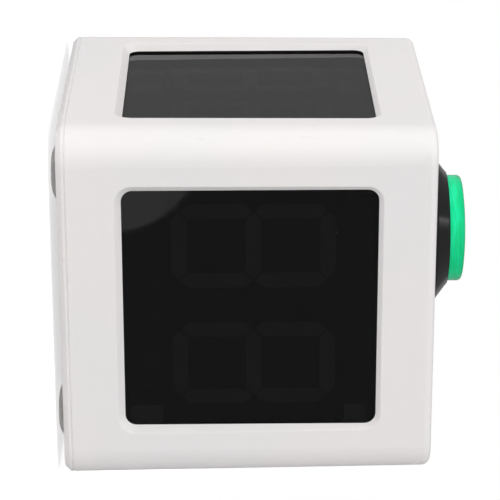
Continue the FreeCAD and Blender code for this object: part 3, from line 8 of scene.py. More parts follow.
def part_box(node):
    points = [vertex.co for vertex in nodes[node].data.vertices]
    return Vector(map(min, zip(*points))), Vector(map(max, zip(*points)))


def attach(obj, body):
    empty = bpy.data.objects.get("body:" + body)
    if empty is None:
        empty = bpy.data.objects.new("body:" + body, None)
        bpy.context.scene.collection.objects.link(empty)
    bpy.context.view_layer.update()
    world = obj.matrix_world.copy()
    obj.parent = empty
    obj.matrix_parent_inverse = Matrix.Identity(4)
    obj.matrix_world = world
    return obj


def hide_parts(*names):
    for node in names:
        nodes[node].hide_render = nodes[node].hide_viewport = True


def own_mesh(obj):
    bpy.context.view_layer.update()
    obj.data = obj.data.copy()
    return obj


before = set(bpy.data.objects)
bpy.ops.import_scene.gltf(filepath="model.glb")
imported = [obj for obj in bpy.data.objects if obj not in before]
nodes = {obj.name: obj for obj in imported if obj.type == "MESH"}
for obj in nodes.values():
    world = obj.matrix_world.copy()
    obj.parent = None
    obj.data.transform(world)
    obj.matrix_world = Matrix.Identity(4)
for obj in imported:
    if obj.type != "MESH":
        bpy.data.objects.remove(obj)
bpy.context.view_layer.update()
print("frame loaded:", len(nodes), "nodes")

view = {
    "lens": 171.56,         # mm
    "sensor": 36,           # mm
    "azimuth": 21.097,      # degrees round the timer, 0 looks along +Y
    "elevation": -0.672,
    "roll": 89.628,         # the timer is seen lying on a side
    "distance": 0.96303,
    "aim": (0.00183, -0.00073, 0.00178),    # from the middle of the cube
    "clipEnd": 50,
}


def cubeMiddle():
    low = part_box("bottom_cover")[0]
    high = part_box("housing")[1]
    return Vector((0, 0, (low.z + high.z) / 2))


def makeCamera():
    angles = (math.radians(view[name]) for name in ("azimuth", "elevation", "roll"))
    azimuth, elevation, roll = angles
    ahead = Vector((
        math.sin(azimuth) * math.cos(elevation),
        math.cos(azimuth) * math.cos(elevation),
        -math.sin(elevation),
    ))
    right = ahead.cross(Vector((0, 0, 1))).normalized()
    up = right.cross(ahead)
    rolledRight = right * math.cos(roll) + up * math.sin(roll)
    rolledUp = up * math.cos(roll) - right * math.sin(roll)
    turn = Matrix((rolledRight, rolledUp, -ahead)).transposed().to_4x4()
    spot = cubeMiddle() + Vector(view["aim"]) - ahead * view["distance"]
    data = bpy.data.cameras.new("camera")
    data.lens = view["lens"]
    data.sensor_width = view["sensor"]
    data.clip_end = view["clipEnd"]
    camera = bpy.data.objects.new("camera", data)
    camera.matrix_world = Matrix.Translation(spot) @ turn
    bpy.context.scene.collection.objects.link(camera)
    bpy.context.scene.camera = camera


makeCamera()
print("camera placed")


# a socket that can be used in sums, such as 1 - dust * 0.3
class Wire:
    def __init__(self, tree, socket):
        self.tree = tree
        self.socket = socket

    def math(self, operation, first, second=0.0):
        return self.tree.node("ShaderNodeMath", {"operation": operation}, {0: first, 1: second})

    def __add__(self, other):
        return self.math("ADD", self, other)

    def __radd__(self, other):
        return self.math("ADD", other, self)

    def __sub__(self, other):
        return self.math("SUBTRACT", self, other)

    def __rsub__(self, other):
        return self.math("SUBTRACT", other, self)

    def __mul__(self, other):
        return self.math("MULTIPLY", self, other)

    def __rmul__(self, other):
        return self.math("MULTIPLY", other, self)

    def __pow__(self, other):
        return self.math("POWER", self, other)

    def __rpow__(self, other):
        return self.math("POWER", other, self)

    def __gt__(self, other):
        return self.math("GREATER_THAN", self, other)

    def __lt__(self, other):
        return self.math("LESS_THAN", self, other)

    def __abs__(self):
        return self.math("ABSOLUTE", self)


# a node tree that grows by one node at a time
class Tree:
    def __init__(self, nodeTree):
        self.nodeTree = nodeTree
        nodeTree.nodes.clear()

    def put(self, socket, value):
        if isinstance(value, Wire):
            self.nodeTree.links.new(value.socket, socket)
        else:
            socket.default_value = value

    def node(self, kind, settings=None, sockets=None, output=0):
        made = self.nodeTree.nodes.new(kind)
        for name, value in (settings or {}).items():
            setattr(made, name, value)
        for name, value in (sockets or {}).items():
            self.put(made.inputs[name], value)
        return Wire(self, made.outputs[output] if made.outputs else None)

    def place(self):
        return self.node("ShaderNodeTexCoord", output="Object")

    def parts(self, vector):
        split = self.node("ShaderNodeSeparateXYZ", None, {0: vector})
        return [Wire(self, output) for output in split.socket.node.outputs]

    # stretch above 1 packs the pattern closer along that axis
    def noise(self, scale, detail=2.0, rough=0.5, stretch=None):
        place = self.place()
        if stretch:
            place = self.node("ShaderNodeMapping", None, {"Vector": place, "Scale": stretch})
        sockets = {"Vector": place, "Scale": scale, "Detail": detail, "Roughness": rough}
        return self.node("ShaderNodeTexNoise", None, sockets, "Fac")

    def cells(self, scale, **settings):
        sockets = {"Vector": self.place(), "Scale": scale}
        return self.node("ShaderNodeTexVoronoi", settings, sockets, "Distance")

    # 0 below low and 1 above high, smooth between
    def step(self, value, low, high):
        sockets = {0: value, 1: low, 2: high}
        return self.node("ShaderNodeMapRange", {"interpolation_type": "SMOOTHSTEP"}, sockets)

    def mix(self, factor, first, second):
        colours = [end if isinstance(end, Wire) else (*end, 1) for end in (first, second)]
        sockets = {0: factor, 6: colours[0], 7: colours[1]}     # 6, 7 and output 2 are for colours
        return self.node("ShaderNodeMix", {"data_type": "RGBA"}, sockets, 2)

    def mixShader(self, factor, first, second):
        return self.node("ShaderNodeMixShader", None, {0: factor, 1: first, 2: second})

    # round specks of mixed brightness in a share of the cells, their size a part of a cell
    def specks(self, scale, size, share, faintest=0.3):
        cells = self.cells(scale)
        picked, bright, _ = self.parts(Wire(self, cells.socket.node.outputs["Color"]))
        inside = 1 - self.step(cells, size / 2, size)
        return inside * (picked < share) * (bright * (1 - faintest) + faintest)

    # distance from a piece's own upright axis
    def fromAxis(self, name):
        low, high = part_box(name)
        x, y, _ = self.parts(self.place())
        across = x - (low.x + high.x) / 2
        along = y - (low.y + high.y) / 2
        return (across * across + along * along) ** 0.5


# one material with a Principled shader, made from the numbers in its look
class Finish(Tree):
    def __init__(self, name, look):
        self.look = look
        self.material = bpy.data.materials.new(name)
        self.material.use_nodes = True
        super().__init__(self.material.node_tree)
        self.shader = self.node("ShaderNodeBsdfPrincipled").socket.node
        surface = Wire(self, self.shader.outputs[0])
        self.node("ShaderNodeOutputMaterial", None, {"Surface": surface})
        self.feed("Base Color", (*look["colour"], 1))
        for socket, value in look.get("sockets", {}).items():
            self.feed(socket, value)

    def feed(self, socket, value):
        self.put(self.shader.inputs[socket], value)

    # the look's colour from its darker to its lighter shade
    def shaded(self, mask):
        dark, light = (tint(self.look["colour"], shade) for shade in self.look["shades"])
        return self.mix(mask, dark, light)

    # the base colour, with another colour over it where each mask says, one after the other
    def cover(self, tone, *layers):
        for mask, colour in layers:
            tone = self.mix(mask, tone, colour)
        self.feed("Base Color", tone)

    # each mask adds its own share of the look's "rougher"
    def roughen(self, **masks):
        rough = self.look["roughness"]
        for name, mask in masks.items():
            rough = rough + mask * self.look["rougher"][name]
        self.feed("Roughness", rough)

    def bump(self, height):
        strength, depth = self.look["bump"]
        sockets = {"Height": height, "Strength": strength, "Distance": depth}
        self.feed("Normal", self.node("ShaderNodeBump", None, sockets, "Normal"))

    def paint(self, mesh):
        mesh.materials.clear()
        mesh.materials.append(self.material)

    def wear(self, *names):
        for name in names:
            self.paint(nodes[name].data)


def named(start):
    return sorted(name for name in nodes if name.startswith(start))


def tint(colour, factor):
    return tuple(min(part * factor, 1.0) for part in colour)


# scales are per metre, edges say where a mask begins and is full,
# and bump is its strength and its depth in metres
housingLook = {
    "colour": (0.800, 0.768, 0.760),
    "cool": (0.782, 0.764, 0.762),
    "grime": (0.50, 0.47, 0.45),
    "roughness": 0.40,
    "rougher": {"cloud": 0.08, "scuff": 0.12, "grain": 0.04},
    "sockets": {
        "IOR": 1.46,
        "Subsurface Weight": 0.05,
        "Subsurface Radius": (0.002, 0.0018, 0.0016),
        "Subsurface Scale": 0.5,
    },
    "cloud": {"scale": 14.0, "detail": 3.0},
    "cloudEdges": (0.35, 0.65),
    "peel": {"scale": 240.0, "detail": 1.0},    # slow ripple of a moulded face
    "peelShare": 0.6,
    "grain": {"scale": 2600.0},
    "bump": (0.35, 0.00003),
    "dust": {"scale": 130.0, "size": 0.03, "share": 0.08},
    "dustShows": 0.5,
    "streak": {"scale": 420.0, "detail": 4.0, "rough": 0.7, "stretch": (1, 1, 0.25)},
    "streakEdges": (0.62, 0.74),
    "scuffShows": 0.5,
    "corner": (0.1290, 0.1335),     # |x| + |y| where the rounded corners begin and peak
    "cornerScuff": 0.35,
    "lowEdge": (0.003, 0.010),      # height over which scuffs from shelves fade out
    "lowScuff": 0.4,
    "scuffAnywhere": 0.05,
}


def makeHousingFinish():
    look = housingLook
    finish = Finish("housingWhite", look)
    x, y, z = finish.parts(finish.place())
    cloud = finish.noise(**look["cloud"])
    clouded = finish.step(cloud, *look["cloudEdges"])
    dust = finish.specks(**look["dust"])
    corner = finish.step(abs(x) + abs(y), *look["corner"])
    low = 1 - finish.step(z, *look["lowEdge"])
    likely = corner * look["cornerScuff"] + low * look["lowScuff"] + look["scuffAnywhere"]
    scuff = finish.step(finish.noise(**look["streak"]), *look["streakEdges"]) * likely
    tone = finish.mix(clouded, look["colour"], look["cool"])
    finish.cover(
        tone,
        (scuff * look["scuffShows"], look["grime"]),
        (dust * look["dustShows"], look["grime"]),
    )
    grain = finish.noise(**look["grain"])
    finish.roughen(cloud=cloud, scuff=scuff, grain=grain)
    finish.bump(grain + finish.noise(**look["peel"]) * look["peelShare"])
    finish.wear("housing", "bottom_cover")


paneLook = {
    "colour": (0.0042, 0.0042, 0.0048),
    "roughness": 0.02,
    "rougher": {"marks": 0.05, "dust": 0.4},
    "dusty": (0.30, 0.30, 0.31),
    "hides": 0.77,          # share of what lies behind that each face of the pane hides
    "dustHides": 0.2,
    "sockets": {"IOR": 1.49},
    "dust": {"scale": 62.0, "size": 0.05, "share": 0.20},
    "dustShows": 0.8,
    "lint": {"scale": 900.0, "size": 0.12, "share": 0.015},
    "lintShows": 0.3,
    "smear": {"scale": 26.0, "detail": 5.0, "rough": 0.6, "stretch": (1, 1, 2.2)},
    "smearEdges": (0.52, 0.70),
    "bulge": {"scale": 9.0, "detail": 1.0},
    "bump": (0.05, 0.0001),
}


def makePaneFinish():
    look = paneLook
    finish = Finish("smokedPane", look)
    dust = finish.specks(**look["dust"])
    lint = finish.specks(**look["lint"])
    marks = finish.step(finish.noise(**look["smear"]), *look["smearEdges"])
    specked = dust * look["dustShows"] + lint * look["lintShows"]
    finish.cover(look["colour"], (specked, look["dusty"]))
    finish.roughen(marks=marks, dust=dust)
    finish.feed("Alpha", look["hides"] + dust * look["dustHides"])
    finish.bump(finish.noise(**look["bulge"]))
    finish.wear(*(name for name in named("window_") if "gasket" not in name))


# the gasket is near-black foam, and its darkness is partly painted shade for the gap between window
# and housing
gasketLook = {
    "colour": (0.008, 0.008, 0.009),
    "shades": (0.5, 2.0),   # the colour's factor at a cell's middle and at its edge
    "dusty": (0.10, 0.10, 0.10),
    "roughness": 0.75,
    "rougher": {"cells": 0.2},
    "cells": 2200.0,
    "dust": {"scale": 150.0, "detail": 4.0, "rough": 0.7},
    "dustEdges": (0.60, 0.80),
    "dustShows": 0.2,
    "bump": (0.5, 0.0001),
}


def makeGasketFinish():
    look = gasketLook
    finish = Finish("gasketFoamAndGapShade", look)
    cells = finish.cells(look["cells"])
    dust = finish.step(finish.noise(**look["dust"]), *look["dustEdges"])
    finish.cover(finish.shaded(cells), (dust * look["dustShows"], look["dusty"]))
    finish.roughen(cells=cells)
    finish.bump(cells)
    finish.wear(*named("window_gasket"))


barLook = {
    "colour": (0.70, 0.69, 0.67),
    "shades": (0.85, 1.1),
    "hazeShade": 0.6,
    "roughness": 0.45,
    "rougher": {"milk": -0.1},
    "milk": {"scale": 700.0},
    "haze": {"scale": 120.0, "detail": 3.0},
    "hazeEdges": (0.45, 0.70),
    "hazeShows": 0.3,
    "bump": (0.2, 0.00003),
}
shellLook = {
    "colour": (0.0055, 0.0055, 0.006),
    "shades": (0.7, 1.5),
    "roughness": 0.65,
    "rougher": {"grain": 0.15},
    "grain": {"scale": 1500.0, "detail": 3.0},
    "bump": (0.3, 0.00005),
}


def makeDigitFinishes():
    look = barLook
    bars = Finish("barResin", look)
    milk = bars.noise(**look["milk"])
    haze = bars.step(bars.noise(**look["haze"]), *look["hazeEdges"])
    hazy = tint(look["colour"], look["hazeShade"])
    bars.cover(bars.shaded(milk), (haze * look["hazeShows"], hazy))
    bars.roughen(milk=milk)
    bars.bump(milk)
    bars.wear(*named("digit_bars"))

    look = shellLook
    shells = Finish("digitShell", look)
    grain = shells.noise(**look["grain"])
    shells.cover(shells.shaded(grain))
    shells.roughen(grain=grain)
    shells.bump(grain)
    shells.wear(*named("digit_shells"))


bezelLook = {
    "colour": (0.0065, 0.0065, 0.0072),
    "dusty": (0.16, 0.16, 0.16),
    "roughness": 0.09,
    "rougher": {"smear": 0.08, "dust": 0.3, "rings": 0.03},
    "sockets": {"IOR": 1.50},
    "rings": 5200.0,        # fine scratches that run round
    "smear": {"scale": 60.0, "detail": 4.0, "rough": 0.6},
    "smearEdges": (0.5, 0.7),
    "dust": {"scale": 300.0, "size": 0.05, "share": 0.10},
    "dustShows": 0.4,
    "bump": (0.05, 0.00002),
}


def makeBezelFinish():
    look = bezelLook
    finish = Finish("bezelBlack", look)
    turned = {"W": finish.fromAxis("button_bezel") * look["rings"], "Scale": 1.0}
    rings = finish.node("ShaderNodeTexNoise", {"noise_dimensions": "1D"}, turned, "Fac")
    smear = finish.step(finish.noise(**look["smear"]), *look["smearEdges"])
    dust = finish.specks(**look["dust"])
    finish.cover(look["colour"], (dust * look["dustShows"], look["dusty"]))
    finish.roughen(smear=smear, dust=dust, rings=rings)
    finish.bump(rings)
    finish.wear("button_bezel")


capLook = {
    "colour": (0.0030, 0.74, 0.285),
    # pale is the colour of the painted light streaks and of the painted highlight by the bezel
    "pale": (0.025, 0.98, 0.52),
    # deep is the colour of the painted shade on the rim and of the darker wavy patches
    "deep": (0.0010, 0.36, 0.135),
    "roughness": 0.12,
    "rougher": {"wavy": 0.06},
    "sockets": {
        "IOR": 1.45,
        "Subsurface Weight": 0.30,
        "Subsurface Radius": (0.05, 1.0, 0.6),
        "Subsurface Scale": 0.004,
        "Coat Weight": 0.2,
        "Coat Roughness": 0.04,
    },
    # soft bands that run round the side, painted pale as streaks of light in the translucent
    # plastic
    "bands": {"scale": 620.0, "rough": 0.6, "stretch": (0.10, 0.10, 1)},
    "bandEdges": (0.42, 0.66),
    "bandLightShows": 0.45,
    "fineBands": {"scale": 1700.0, "detail": 1.0, "stretch": (0.08, 0.08, 1)},
    "fineBandEdges": (0.45, 0.65),
    "fineBandLightShows": 0.15,
    "wavy": {"scale": 70.0, "rough": 0.6},
    "wavyEdges": (0.50, 0.75),
    "wavyShows": 0.15,
    "foot": (0.0082, 0.0070),       # below the crown, where the painted highlight by the bezel ends
    "footHighlightShows": 0.6,
    "rim": (0.0046, 0.0022),        # below the crown, where the painted shade on the rounded edge begins
    "rimRadius": (0.0165, 0.0205),
    "rimShadeShows": 0.55,
    "bandBump": 0.15,
    "bump": (0.06, 0.0004),
}


def makeCapFinish():
    look = capLook
    finish = Finish("capGreen", look)
    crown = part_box("button_cap")[1].z
    _, _, z = finish.parts(finish.place())
    bands = finish.noise(**look["bands"])
    fine = finish.noise(**look["fineBands"])
    wavy = finish.noise(**look["wavy"])
    # painted shade: the rounded edge at the crown is painted a deeper green where it turns away
    # from the light
    rim = finish.step(z, *(crown - drop for drop in look["rim"]))
    rim = rim * finish.step(finish.fromAxis("button_cap"), *look["rimRadius"])
    # painted highlight: a pale line round the cap's foot, beside the bezel
    foot = 1 - finish.step(z, *(crown - drop for drop in look["foot"]))
    # painted light: the pale bands stand in for light streaking through the translucent cap
    glow = finish.step(bands, *look["bandEdges"]) * look["bandLightShows"]
    glow = glow + finish.step(fine, *look["fineBandEdges"]) * look["fineBandLightShows"]
    finish.cover(
        finish.mix(glow, look["colour"], look["pale"]),
        (rim * look["rimShadeShows"], look["deep"]),
        (foot * look["footHighlightShows"], look["pale"]),
        (finish.step(wavy, *look["wavyEdges"]) * look["wavyShows"], look["deep"]),
    )
    finish.roughen(wavy=wavy)
    finish.bump(wavy + bands * look["bandBump"])
    finish.wear("button_cap")


footLook = {
    "colour": (0.96, 0.95, 0.94),
    "grainShade": 0.96,
    "grime": (0.66, 0.64, 0.62),
    "roughness": 0.25,
    "rougher": {"grain": 0.12, "worn": 0.15},
    "sockets": {"IOR": 1.40, "Transmission Weight": 0.92},
    "grain": {"scale": 1900.0, "detail": 3.0},
    "patch": {"scale": 260.0, "detail": 4.0, "rough": 0.65},
    "patchEdges": (0.40, 0.62),
    "worn": (0.00005, 0.0004),      # height of the worn flat
    "wornShows": 0.6,
    "bump": (0.25, 0.00004),
}


def makeFootFinish():
    look = footLook
    finish = Finish("footRubber", look)
    _, _, z = finish.parts(finish.place())
    grain = finish.noise(**look["grain"])
    patch = finish.step(finish.noise(**look["patch"]), *look["patchEdges"])
    worn = (1 - finish.step(z, *look["worn"])) * patch
    tone = finish.mix(grain, tint(look["colour"], look["grainShade"]), look["colour"])
    finish.cover(tone, (worn * look["wornShows"], look["grime"]))
    finish.roughen(grain=grain, worn=worn)
    finish.bump(grain)
    finish.wear(*named("foot_"))


keyLook = {
    "colour": (0.24, 0.245, 0.255),
    "shades": (0.9, 1.12),
    "mark": (0.78, 0.78, 0.77),
    "roughness": 0.48,
    "rougher": {"grain": 0.08, "worn": -0.14},
    "grain": {"scale": 2400.0},
    "cloud": {"scale": 90.0, "detail": 3.0},
    "cloudEdges": (0.45, 0.65),
    "reach": 0.0028,        # the mark lies inside this radius
    "depth": (0.00015, 0.001),      # and this far below the face
    "worn": (0.001, 0.0045),        # fingers polish the middle
    "bump": (0.3, 0.00003),
}


def makeKeyFinishes():
    look = keyLook
    for name in named("set_key"):
        finish = Finish(f"{name.split('_')[-1]}KeyGrey", look)
        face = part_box(name)[1].z
        _, _, z = finish.parts(finish.place())
        radius = finish.fromAxis(name)
        grain = finish.noise(**look["grain"])
        cloud = finish.noise(**look["cloud"])
        near, far = look["depth"]
        mark = (z < face - near) * (z > face - far) * (radius < look["reach"])
        worn = finish.step(cloud, *look["cloudEdges"]) * (1 - finish.step(radius, *look["worn"]))
        finish.cover(finish.shaded(cloud), (mark, look["mark"]))
        finish.roughen(grain=grain, worn=worn)
        finish.bump(grain)
        finish.wear(name)


boardLook = {
    "colour": (0.010, 0.085, 0.035),
    "copper": (0.022, 0.15, 0.06),
    "pad": (0.62, 0.60, 0.52),
    "roughness": 0.32,
    "rougher": {"weave": 0.1, "pads": -0.08},
    "tracks": {"scale": 190.0, "distance": "MANHATTAN", "feature": "F2"},
    "trackLine": 0.9,       # distance in a cell at which a track runs
    "trackEdges": (0.10, 0.14),
    "pads": {"scale": 266.0, "size": 0.22, "share": 0.35},
    "weave": {"scale": 1500.0},
    "weaveBump": 0.3,
    "bump": (0.3, 0.00004),
}


def makeBoardFinish():
    look = boardLook
    finish = Finish("boardGreen", look)
    cells = finish.cells(**look["tracks"])
    tracks = 1 - finish.step(abs(cells - look["trackLine"]), *look["trackEdges"])
    pads = finish.specks(**look["pads"])
    weave = finish.noise(**look["weave"])
    tone = finish.mix(tracks, look["colour"], look["copper"])
    finish.cover(tone, (pads, look["pad"]))
    finish.roughen(weave=weave, pads=pads)
    finish.bump(weave * look["weaveBump"] + tracks + pads)
    finish.wear(*named("display_board"), "main_board", "key_board")


metal = {"Metallic": 1.0}
# the small parts: a cloudy tone that varies up and down, a grain, and scuffs that show pale
smallLooks = {
    "screwZinc": {
        "colour": (0.62, 0.62, 0.64), "roughness": 0.28, "sockets": metal,
        "grain": 1800.0, "vary": 0.10, "scuff": 0.15,
        "wearers": ["cover_screws", "display_screws", "board_screws"],
    },
    "springWire": {
        "colour": (0.55, 0.55, 0.57), "roughness": 0.22, "sockets": metal,
        "grain": 2600.0, "vary": 0.10, "scuff": 0.12,
        "wearers": ["button_spring"],
    },
    "contactBrass": {
        "colour": (0.80, 0.62, 0.30), "roughness": 0.25, "sockets": metal,
        "grain": 1500.0, "vary": 0.08, "scuff": 0.12,
        "wearers": ["switch_terminals", "battery_contacts"],
    },
    "inletNickel": {
        "colour": (0.66, 0.63, 0.58), "roughness": 0.22, "sockets": metal,
        "grain": 1200.0, "vary": 0.06, "scuff": 0.14,
        "wearers": ["inlet_pin", "inlet_nut"],
    },
    "inletBlack": {
        "colour": (0.014, 0.014, 0.015), "roughness": 0.40, "sockets": {"IOR": 1.5},
        "grain": 1700.0, "vary": 0.20, "scuff": 0.12,
        "wearers": ["inlet_socket"],
    },
    "rockerBlack": {
        "colour": (0.012, 0.012, 0.013), "roughness": 0.24, "sockets": {"IOR": 1.5},
        "grain": 1900.0, "vary": 0.20, "scuff": 0.16,
        "wearers": ["rocker", "rocker_housing"],
    },
    "plungerWhite": {
        "colour": (0.78, 0.78, 0.76), "roughness": 0.40,
        "grain": 1600.0, "vary": 0.03, "scuff": 0.10,
        "wearers": ["button_plunger", "lamp_holder"],
    },
    "lampClear": {
        "colour": (0.80, 0.86, 0.80), "roughness": 0.12, "sockets": {"Transmission Weight": 0.6},
        "grain": 500.0, "vary": 0.03, "scuff": 0.05,
        "wearers": ["button_lamp"],
    },
    "nutBlack": {
        "colour": (0.022, 0.022, 0.024), "roughness": 0.45,
        "grain": 1400.0, "vary": 0.20, "scuff": 0.12,
        "wearers": ["button_nut", "switch_holder", "microswitch"],
    },
    "trayBlack": {
        "colour": (0.030, 0.030, 0.032), "roughness": 0.52,
        "grain": 1300.0, "vary": 0.18, "scuff": 0.10,
        "wearers": ["battery_tray", "battery_clamp"],
    },
    "sealRubber": {
        "colour": (0.018, 0.018, 0.018), "roughness": 0.70,
        "grain": 2400.0, "vary": 0.20, "scuff": 0.10,
        "wearers": ["button_gasket"],
    },
    "displayJacket": {
        "colour": (0.42, 0.42, 0.43), "roughness": 0.50,
        "grain": 900.0, "vary": 0.10, "scuff": 0.10,
        "wearers": ["display_cables"],
    },
    "powerJacket": {
        "colour": (0.020, 0.020, 0.021), "roughness": 0.48,
        "grain": 900.0, "vary": 0.20, "scuff": 0.12,
        "wearers": ["power_cables"],
    },
    "partDark": {
        "colour": (0.035, 0.035, 0.038), "roughness": 0.50,
        "grain": 1700.0, "vary": 0.25, "scuff": 0.10,
        "wearers": ["key_switches", "board_parts", "buzzer"],
    },
    "pinRed": {
        "colour": (0.48, 0.02, 0.015), "roughness": 0.35,
        "grain": 1500.0, "vary": 0.08, "scuff": 0.08,
        "wearers": ["switch_plunger"],
    },
    "cellSleeve": {
        "colour": (0.03, 0.16, 0.42), "roughness": 0.30, "sockets": {"Coat Weight": 0.4},
        "grain": 900.0, "vary": 0.10, "scuff": 0.15,
        "wearers": ["battery_cells"],
    },
}
# what all of them share
smallWear = {
    "cloud": {"scale": 45.0, "detail": 3.0},
    "cloudRougher": 0.08,
    "grainDetail": 3.0,
    "scuff": {"scale": 320.0, "detail": 5.0, "rough": 0.7, "stretch": (1, 0.3, 1)},
    "scuffEdges": (0.58, 0.70),
    "scuffShade": 1.6,
    "scuffShows": 0.2,
    "bump": (0.25, 0.00004),
}


def makeSmallFinishes():
    finishes = {}
    for name, small in smallLooks.items():
        rougher = {"cloud": smallWear["cloudRougher"], "scuff": small["scuff"]}
        shades = (1 - small["vary"], 1 + small["vary"])
        look = {**small, "shades": shades, "rougher": rougher, "bump": smallWear["bump"]}
        finish = Finish(name, look)
        cloud = finish.noise(**smallWear["cloud"])
        grain = finish.noise(small["grain"], smallWear["grainDetail"])
        scuff = finish.step(finish.noise(**smallWear["scuff"]), *smallWear["scuffEdges"])
        pale = tint(small["colour"], smallWear["scuffShade"])
        finish.cover(finish.shaded(cloud), (scuff * smallWear["scuffShows"], pale))
        finish.roughen(cloud=cloud, scuff=scuff)
        finish.bump(grain)
        finish.wear(*small["wearers"])
        finishes[name] = finish
    return finishes


makeHousingFinish()
makePaneFinish()
makeGasketFinish()
makeDigitFinishes()
makeBezelFinish()
makeCapFinish()
makeFootFinish()
makeKeyFinishes()
makeBoardFinish()
smallFinishes = makeSmallFinishes()
print("finishes made:", len(bpy.data.materials))

# a coiled wire spring, built in place of the button_spring part
springLook = {
    "wire": 0.0006,         # radius
    "pitch": 0.0034,
    "press": 0.004,         # travel of the button
    "aroundWire": 12,
    "perTurn": 40,
}


def makeSpring():
    look = springLook
    low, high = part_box("button_spring")
    wire = look["wire"]
    middle = (low + high) / 2
    radius = (high.x - low.x) / 2 - wire
    rise = high.z - low.z - 2 * wire
    turns = rise / look["pitch"]
    count = round(turns * look["perTurn"])
    slope = look["pitch"] / (2 * math.pi * radius)
    built = bmesh.new()
    rings = []
    for index in range(count + 1):
        turn = 2 * math.pi * turns * index / count
        outward = Vector((math.cos(turn), math.sin(turn), 0))
        height = low.z + wire + rise * index / count
        spot = Vector((middle.x, middle.y, height)) + outward * radius
        ahead = Vector((-math.sin(turn), math.cos(turn), slope)).normalized()
        across = outward.cross(ahead)
        ring = []
        for side in range(look["aroundWire"]):
            angle = 2 * math.pi * side / look["aroundWire"]
            edge = outward * math.cos(angle) + across * math.sin(angle)
            ring.append(built.verts.new(spot + edge * wire))
        rings.append(ring)
    for first, second in zip(rings, rings[1:]):
        for side in range(look["aroundWire"]):
            after = (side + 1) % look["aroundWire"]
            built.faces.new((first[side], first[after], second[after], second[side]))
    built.faces.new(rings[0][::-1])
    built.faces.new(rings[-1])
    bmesh.ops.recalc_face_normals(built, faces=built.faces)
    for face in built.faces:
        face.smooth = len(face.verts) == 4      # the two ends stay flat
    mesh = bpy.data.meshes.new("pressSpring")
    built.to_mesh(mesh)
    built.free()
    smallFinishes["springWire"].paint(mesh)
    spring = bpy.data.objects.new("pressSpring", mesh)
    bpy.context.scene.collection.objects.link(spring)
    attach(spring, "case")
    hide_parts("button_spring")
    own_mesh(spring)


makeSpring()
print("spring wound")

studio = {
    "sky": 0.30,            # the world as a light; it is white where it is seen
    "lamps": {
        "sideLamp": {"power": 23.5, "spot": (-2.1, -0.1, 0.24), "wide": 1.6, "tall": 0.45},
        "frontLamp": {"power": 21.5, "spot": (-0.1, -2.4, 0.26), "wide": 1.8, "tall": 0.45},
        "topLamp": {"power": 22.0, "spot": (-0.3, -0.5, 2.2), "wide": 1.4, "tall": 1.4},
    },
    "floor": (0.86, 0.86, 0.86),
    "floorLow": -0.0001,    # just clear of the feet
    "floorReach": 20.0,
    "floorGlow": (0.60, 0.82),      # near the timer, and far off
    "floorFar": (0.35, 1.60),
    "wall": 2.6,            # radius of the wall that only polished faces see
    "wallHigh": 1.6,
    "wallSides": 64,
    "wallGlow": (0.15, 0.34),       # in front of the timer, and behind it
    "wallTurn": (-1.3, 2.6),        # y between which it changes
    "lid": 0.18,
}
# what else the polished faces show: cards, round or with corners, and how bright they are
cards = {
    "cornerCard": {"glow": 0.74, "middle": (0.2805, -1.10, -0.0305), "radius": 0.078, "sides": 72},
    "lidCard": {
        "glow": 1.2,
        "corners": [(0.04, 0.50, 1.55), (0.20, 0.50, 1.55), (0.20, 0.66, 1.55), (0.04, 0.66, 1.55)],
    },
    "softCard": {
        "glow": 1.4,
        "corners": [(-1.2, -1.9, 1.0), (-0.5, -2.1, 1.0), (-0.5, -2.0, 1.5), (-1.2, -1.8, 1.5)],
    },
}


# 1 for rays from the camera, and for what polished and clear pieces show
def seenRay(tree):
    outputs = tree.node("ShaderNodeLightPath").socket.node.outputs
    kinds = ("Camera", "Glossy", "Transmission")
    camera, glossy, clear = (Wire(tree, outputs[f"Is {kind} Ray"]) for kind in kinds)
    return camera.math("MAXIMUM", camera.math("MAXIMUM", camera, glossy), clear)


def makeWorld():
    world = bpy.data.worlds.new("studioWorld")
    bpy.context.scene.world = world
    world.use_nodes = True
    tree = Tree(world.node_tree)
    soft, white = (
        tree.node("ShaderNodeBackground", None, {"Color": (1, 1, 1, 1), "Strength": strength})
        for strength in (studio["sky"], 1.0)
    )
    surface = tree.mixShader(seenRay(tree), soft, white)
    tree.node("ShaderNodeOutputWorld", None, {"Surface": surface})


def makeLamps():
    for name, lamp in studio["lamps"].items():
        data = bpy.data.lights.new(name, "AREA")
        data.energy = lamp["power"]
        data.shape = "RECTANGLE"
        data.size = lamp["wide"]
        data.size_y = lamp["tall"]
        thing = bpy.data.objects.new(name, data)
        thing.location = lamp["spot"]
        aim = cubeMiddle() - Vector(lamp["spot"])
        thing.rotation_euler = aim.to_track_quat("-Z", "Y").to_euler()
        thing.visible_glossy = False
        bpy.context.scene.collection.objects.link(thing)


def stagePiece(name, corners, faces, shadeWith):
    material = bpy.data.materials.new(f"{name}Paint")
    material.use_nodes = True
    tree = Tree(material.node_tree)
    tree.node("ShaderNodeOutputMaterial", None, {"Surface": shadeWith(tree)})
    mesh = bpy.data.meshes.new(name)
    mesh.from_pydata(corners, [], faces)
    mesh.materials.append(material)
    thing = bpy.data.objects.new(name, mesh)
    bpy.context.scene.collection.objects.link(thing)
    return thing


def shine(tree, strength):
    return tree.node("ShaderNodeEmission", None, {"Color": (1, 1, 1, 1), "Strength": strength})


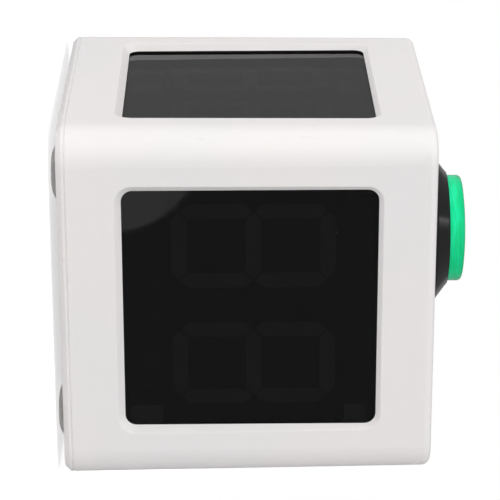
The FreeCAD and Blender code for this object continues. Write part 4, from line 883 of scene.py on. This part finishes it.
def makeFloor():
    def paint(tree):
        x, y, _ = tree.parts(tree.place())
        far = tree.step((x * x + y * y) ** 0.5, *studio["floorFar"])
        glow = tree.mixShader(far, *(shine(tree, strength) for strength in studio["floorGlow"]))
        matt = tree.node("ShaderNodeBsdfDiffuse", None, {"Color": (*studio["floor"], 1)})
        lifted = tree.node("ShaderNodeAddShader", None, {0: matt, 1: glow})
        seen = tree.mixShader(seenRay(tree), matt, lifted)
        # the floor hides nothing from a camera below it
        under = tree.node("ShaderNodeNewGeometry", output="Backfacing")
        return tree.mixShader(under, seen, tree.node("ShaderNodeBsdfTransparent"))

    reach = studio["floorReach"]
    ends = ((-reach, -reach), (reach, -reach), (reach, reach), (-reach, reach))
    corners = [(x, y, studio["floorLow"]) for x, y in ends]
    stagePiece("floor", corners, [(0, 1, 2, 3)], paint).visible_glossy = False


# across and up for each corner of a many-sided ring
def ringCorners(radius, sides):
    turns = [2 * math.pi * index / sides for index in range(sides)]
    return [(radius * math.cos(turn), radius * math.sin(turn)) for turn in turns]


# pieces that polished faces show and that nothing else sees
def makeSurround():
    def paintWall(tree):
        _, y, _ = tree.parts(tree.place())
        behind = tree.step(y, *studio["wallTurn"])
        return tree.mixShader(behind, *(shine(tree, strength) for strength in studio["wallGlow"]))

    count = studio["wallSides"]
    low, high = (
        [(x, y, height) for x, y in ringCorners(studio["wall"], count)]
        for height in (-studio["wallHigh"], studio["wallHigh"])
    )
    sides = [(i, (i + 1) % count, (i + 1) % count + count, i + count) for i in range(count)]
    made = [
        stagePiece("studioWall", low + high, sides, paintWall),
        stagePiece("studioLid", high, [range(count)], lambda tree: shine(tree, studio["lid"])),
    ]
    for name, card in cards.items():
        corners = card.get("corners")
        if not corners:
            x, y, z = card["middle"]
            ring = ringCorners(card["radius"], card["sides"])
            corners = [(x + across, y, z + up) for across, up in ring]
        glow = card["glow"]
        face = [range(len(corners))]
        made.append(stagePiece(name, corners, face, lambda tree: shine(tree, glow)))
    for thing in made:
        thing.visible_camera = False
        thing.visible_diffuse = False
        thing.visible_shadow = False
        thing.visible_transmission = False


makeWorld()
makeLamps()
makeFloor()
makeSurround()
bpy.context.scene.view_settings.view_transform = "Standard"
print("studio lit")
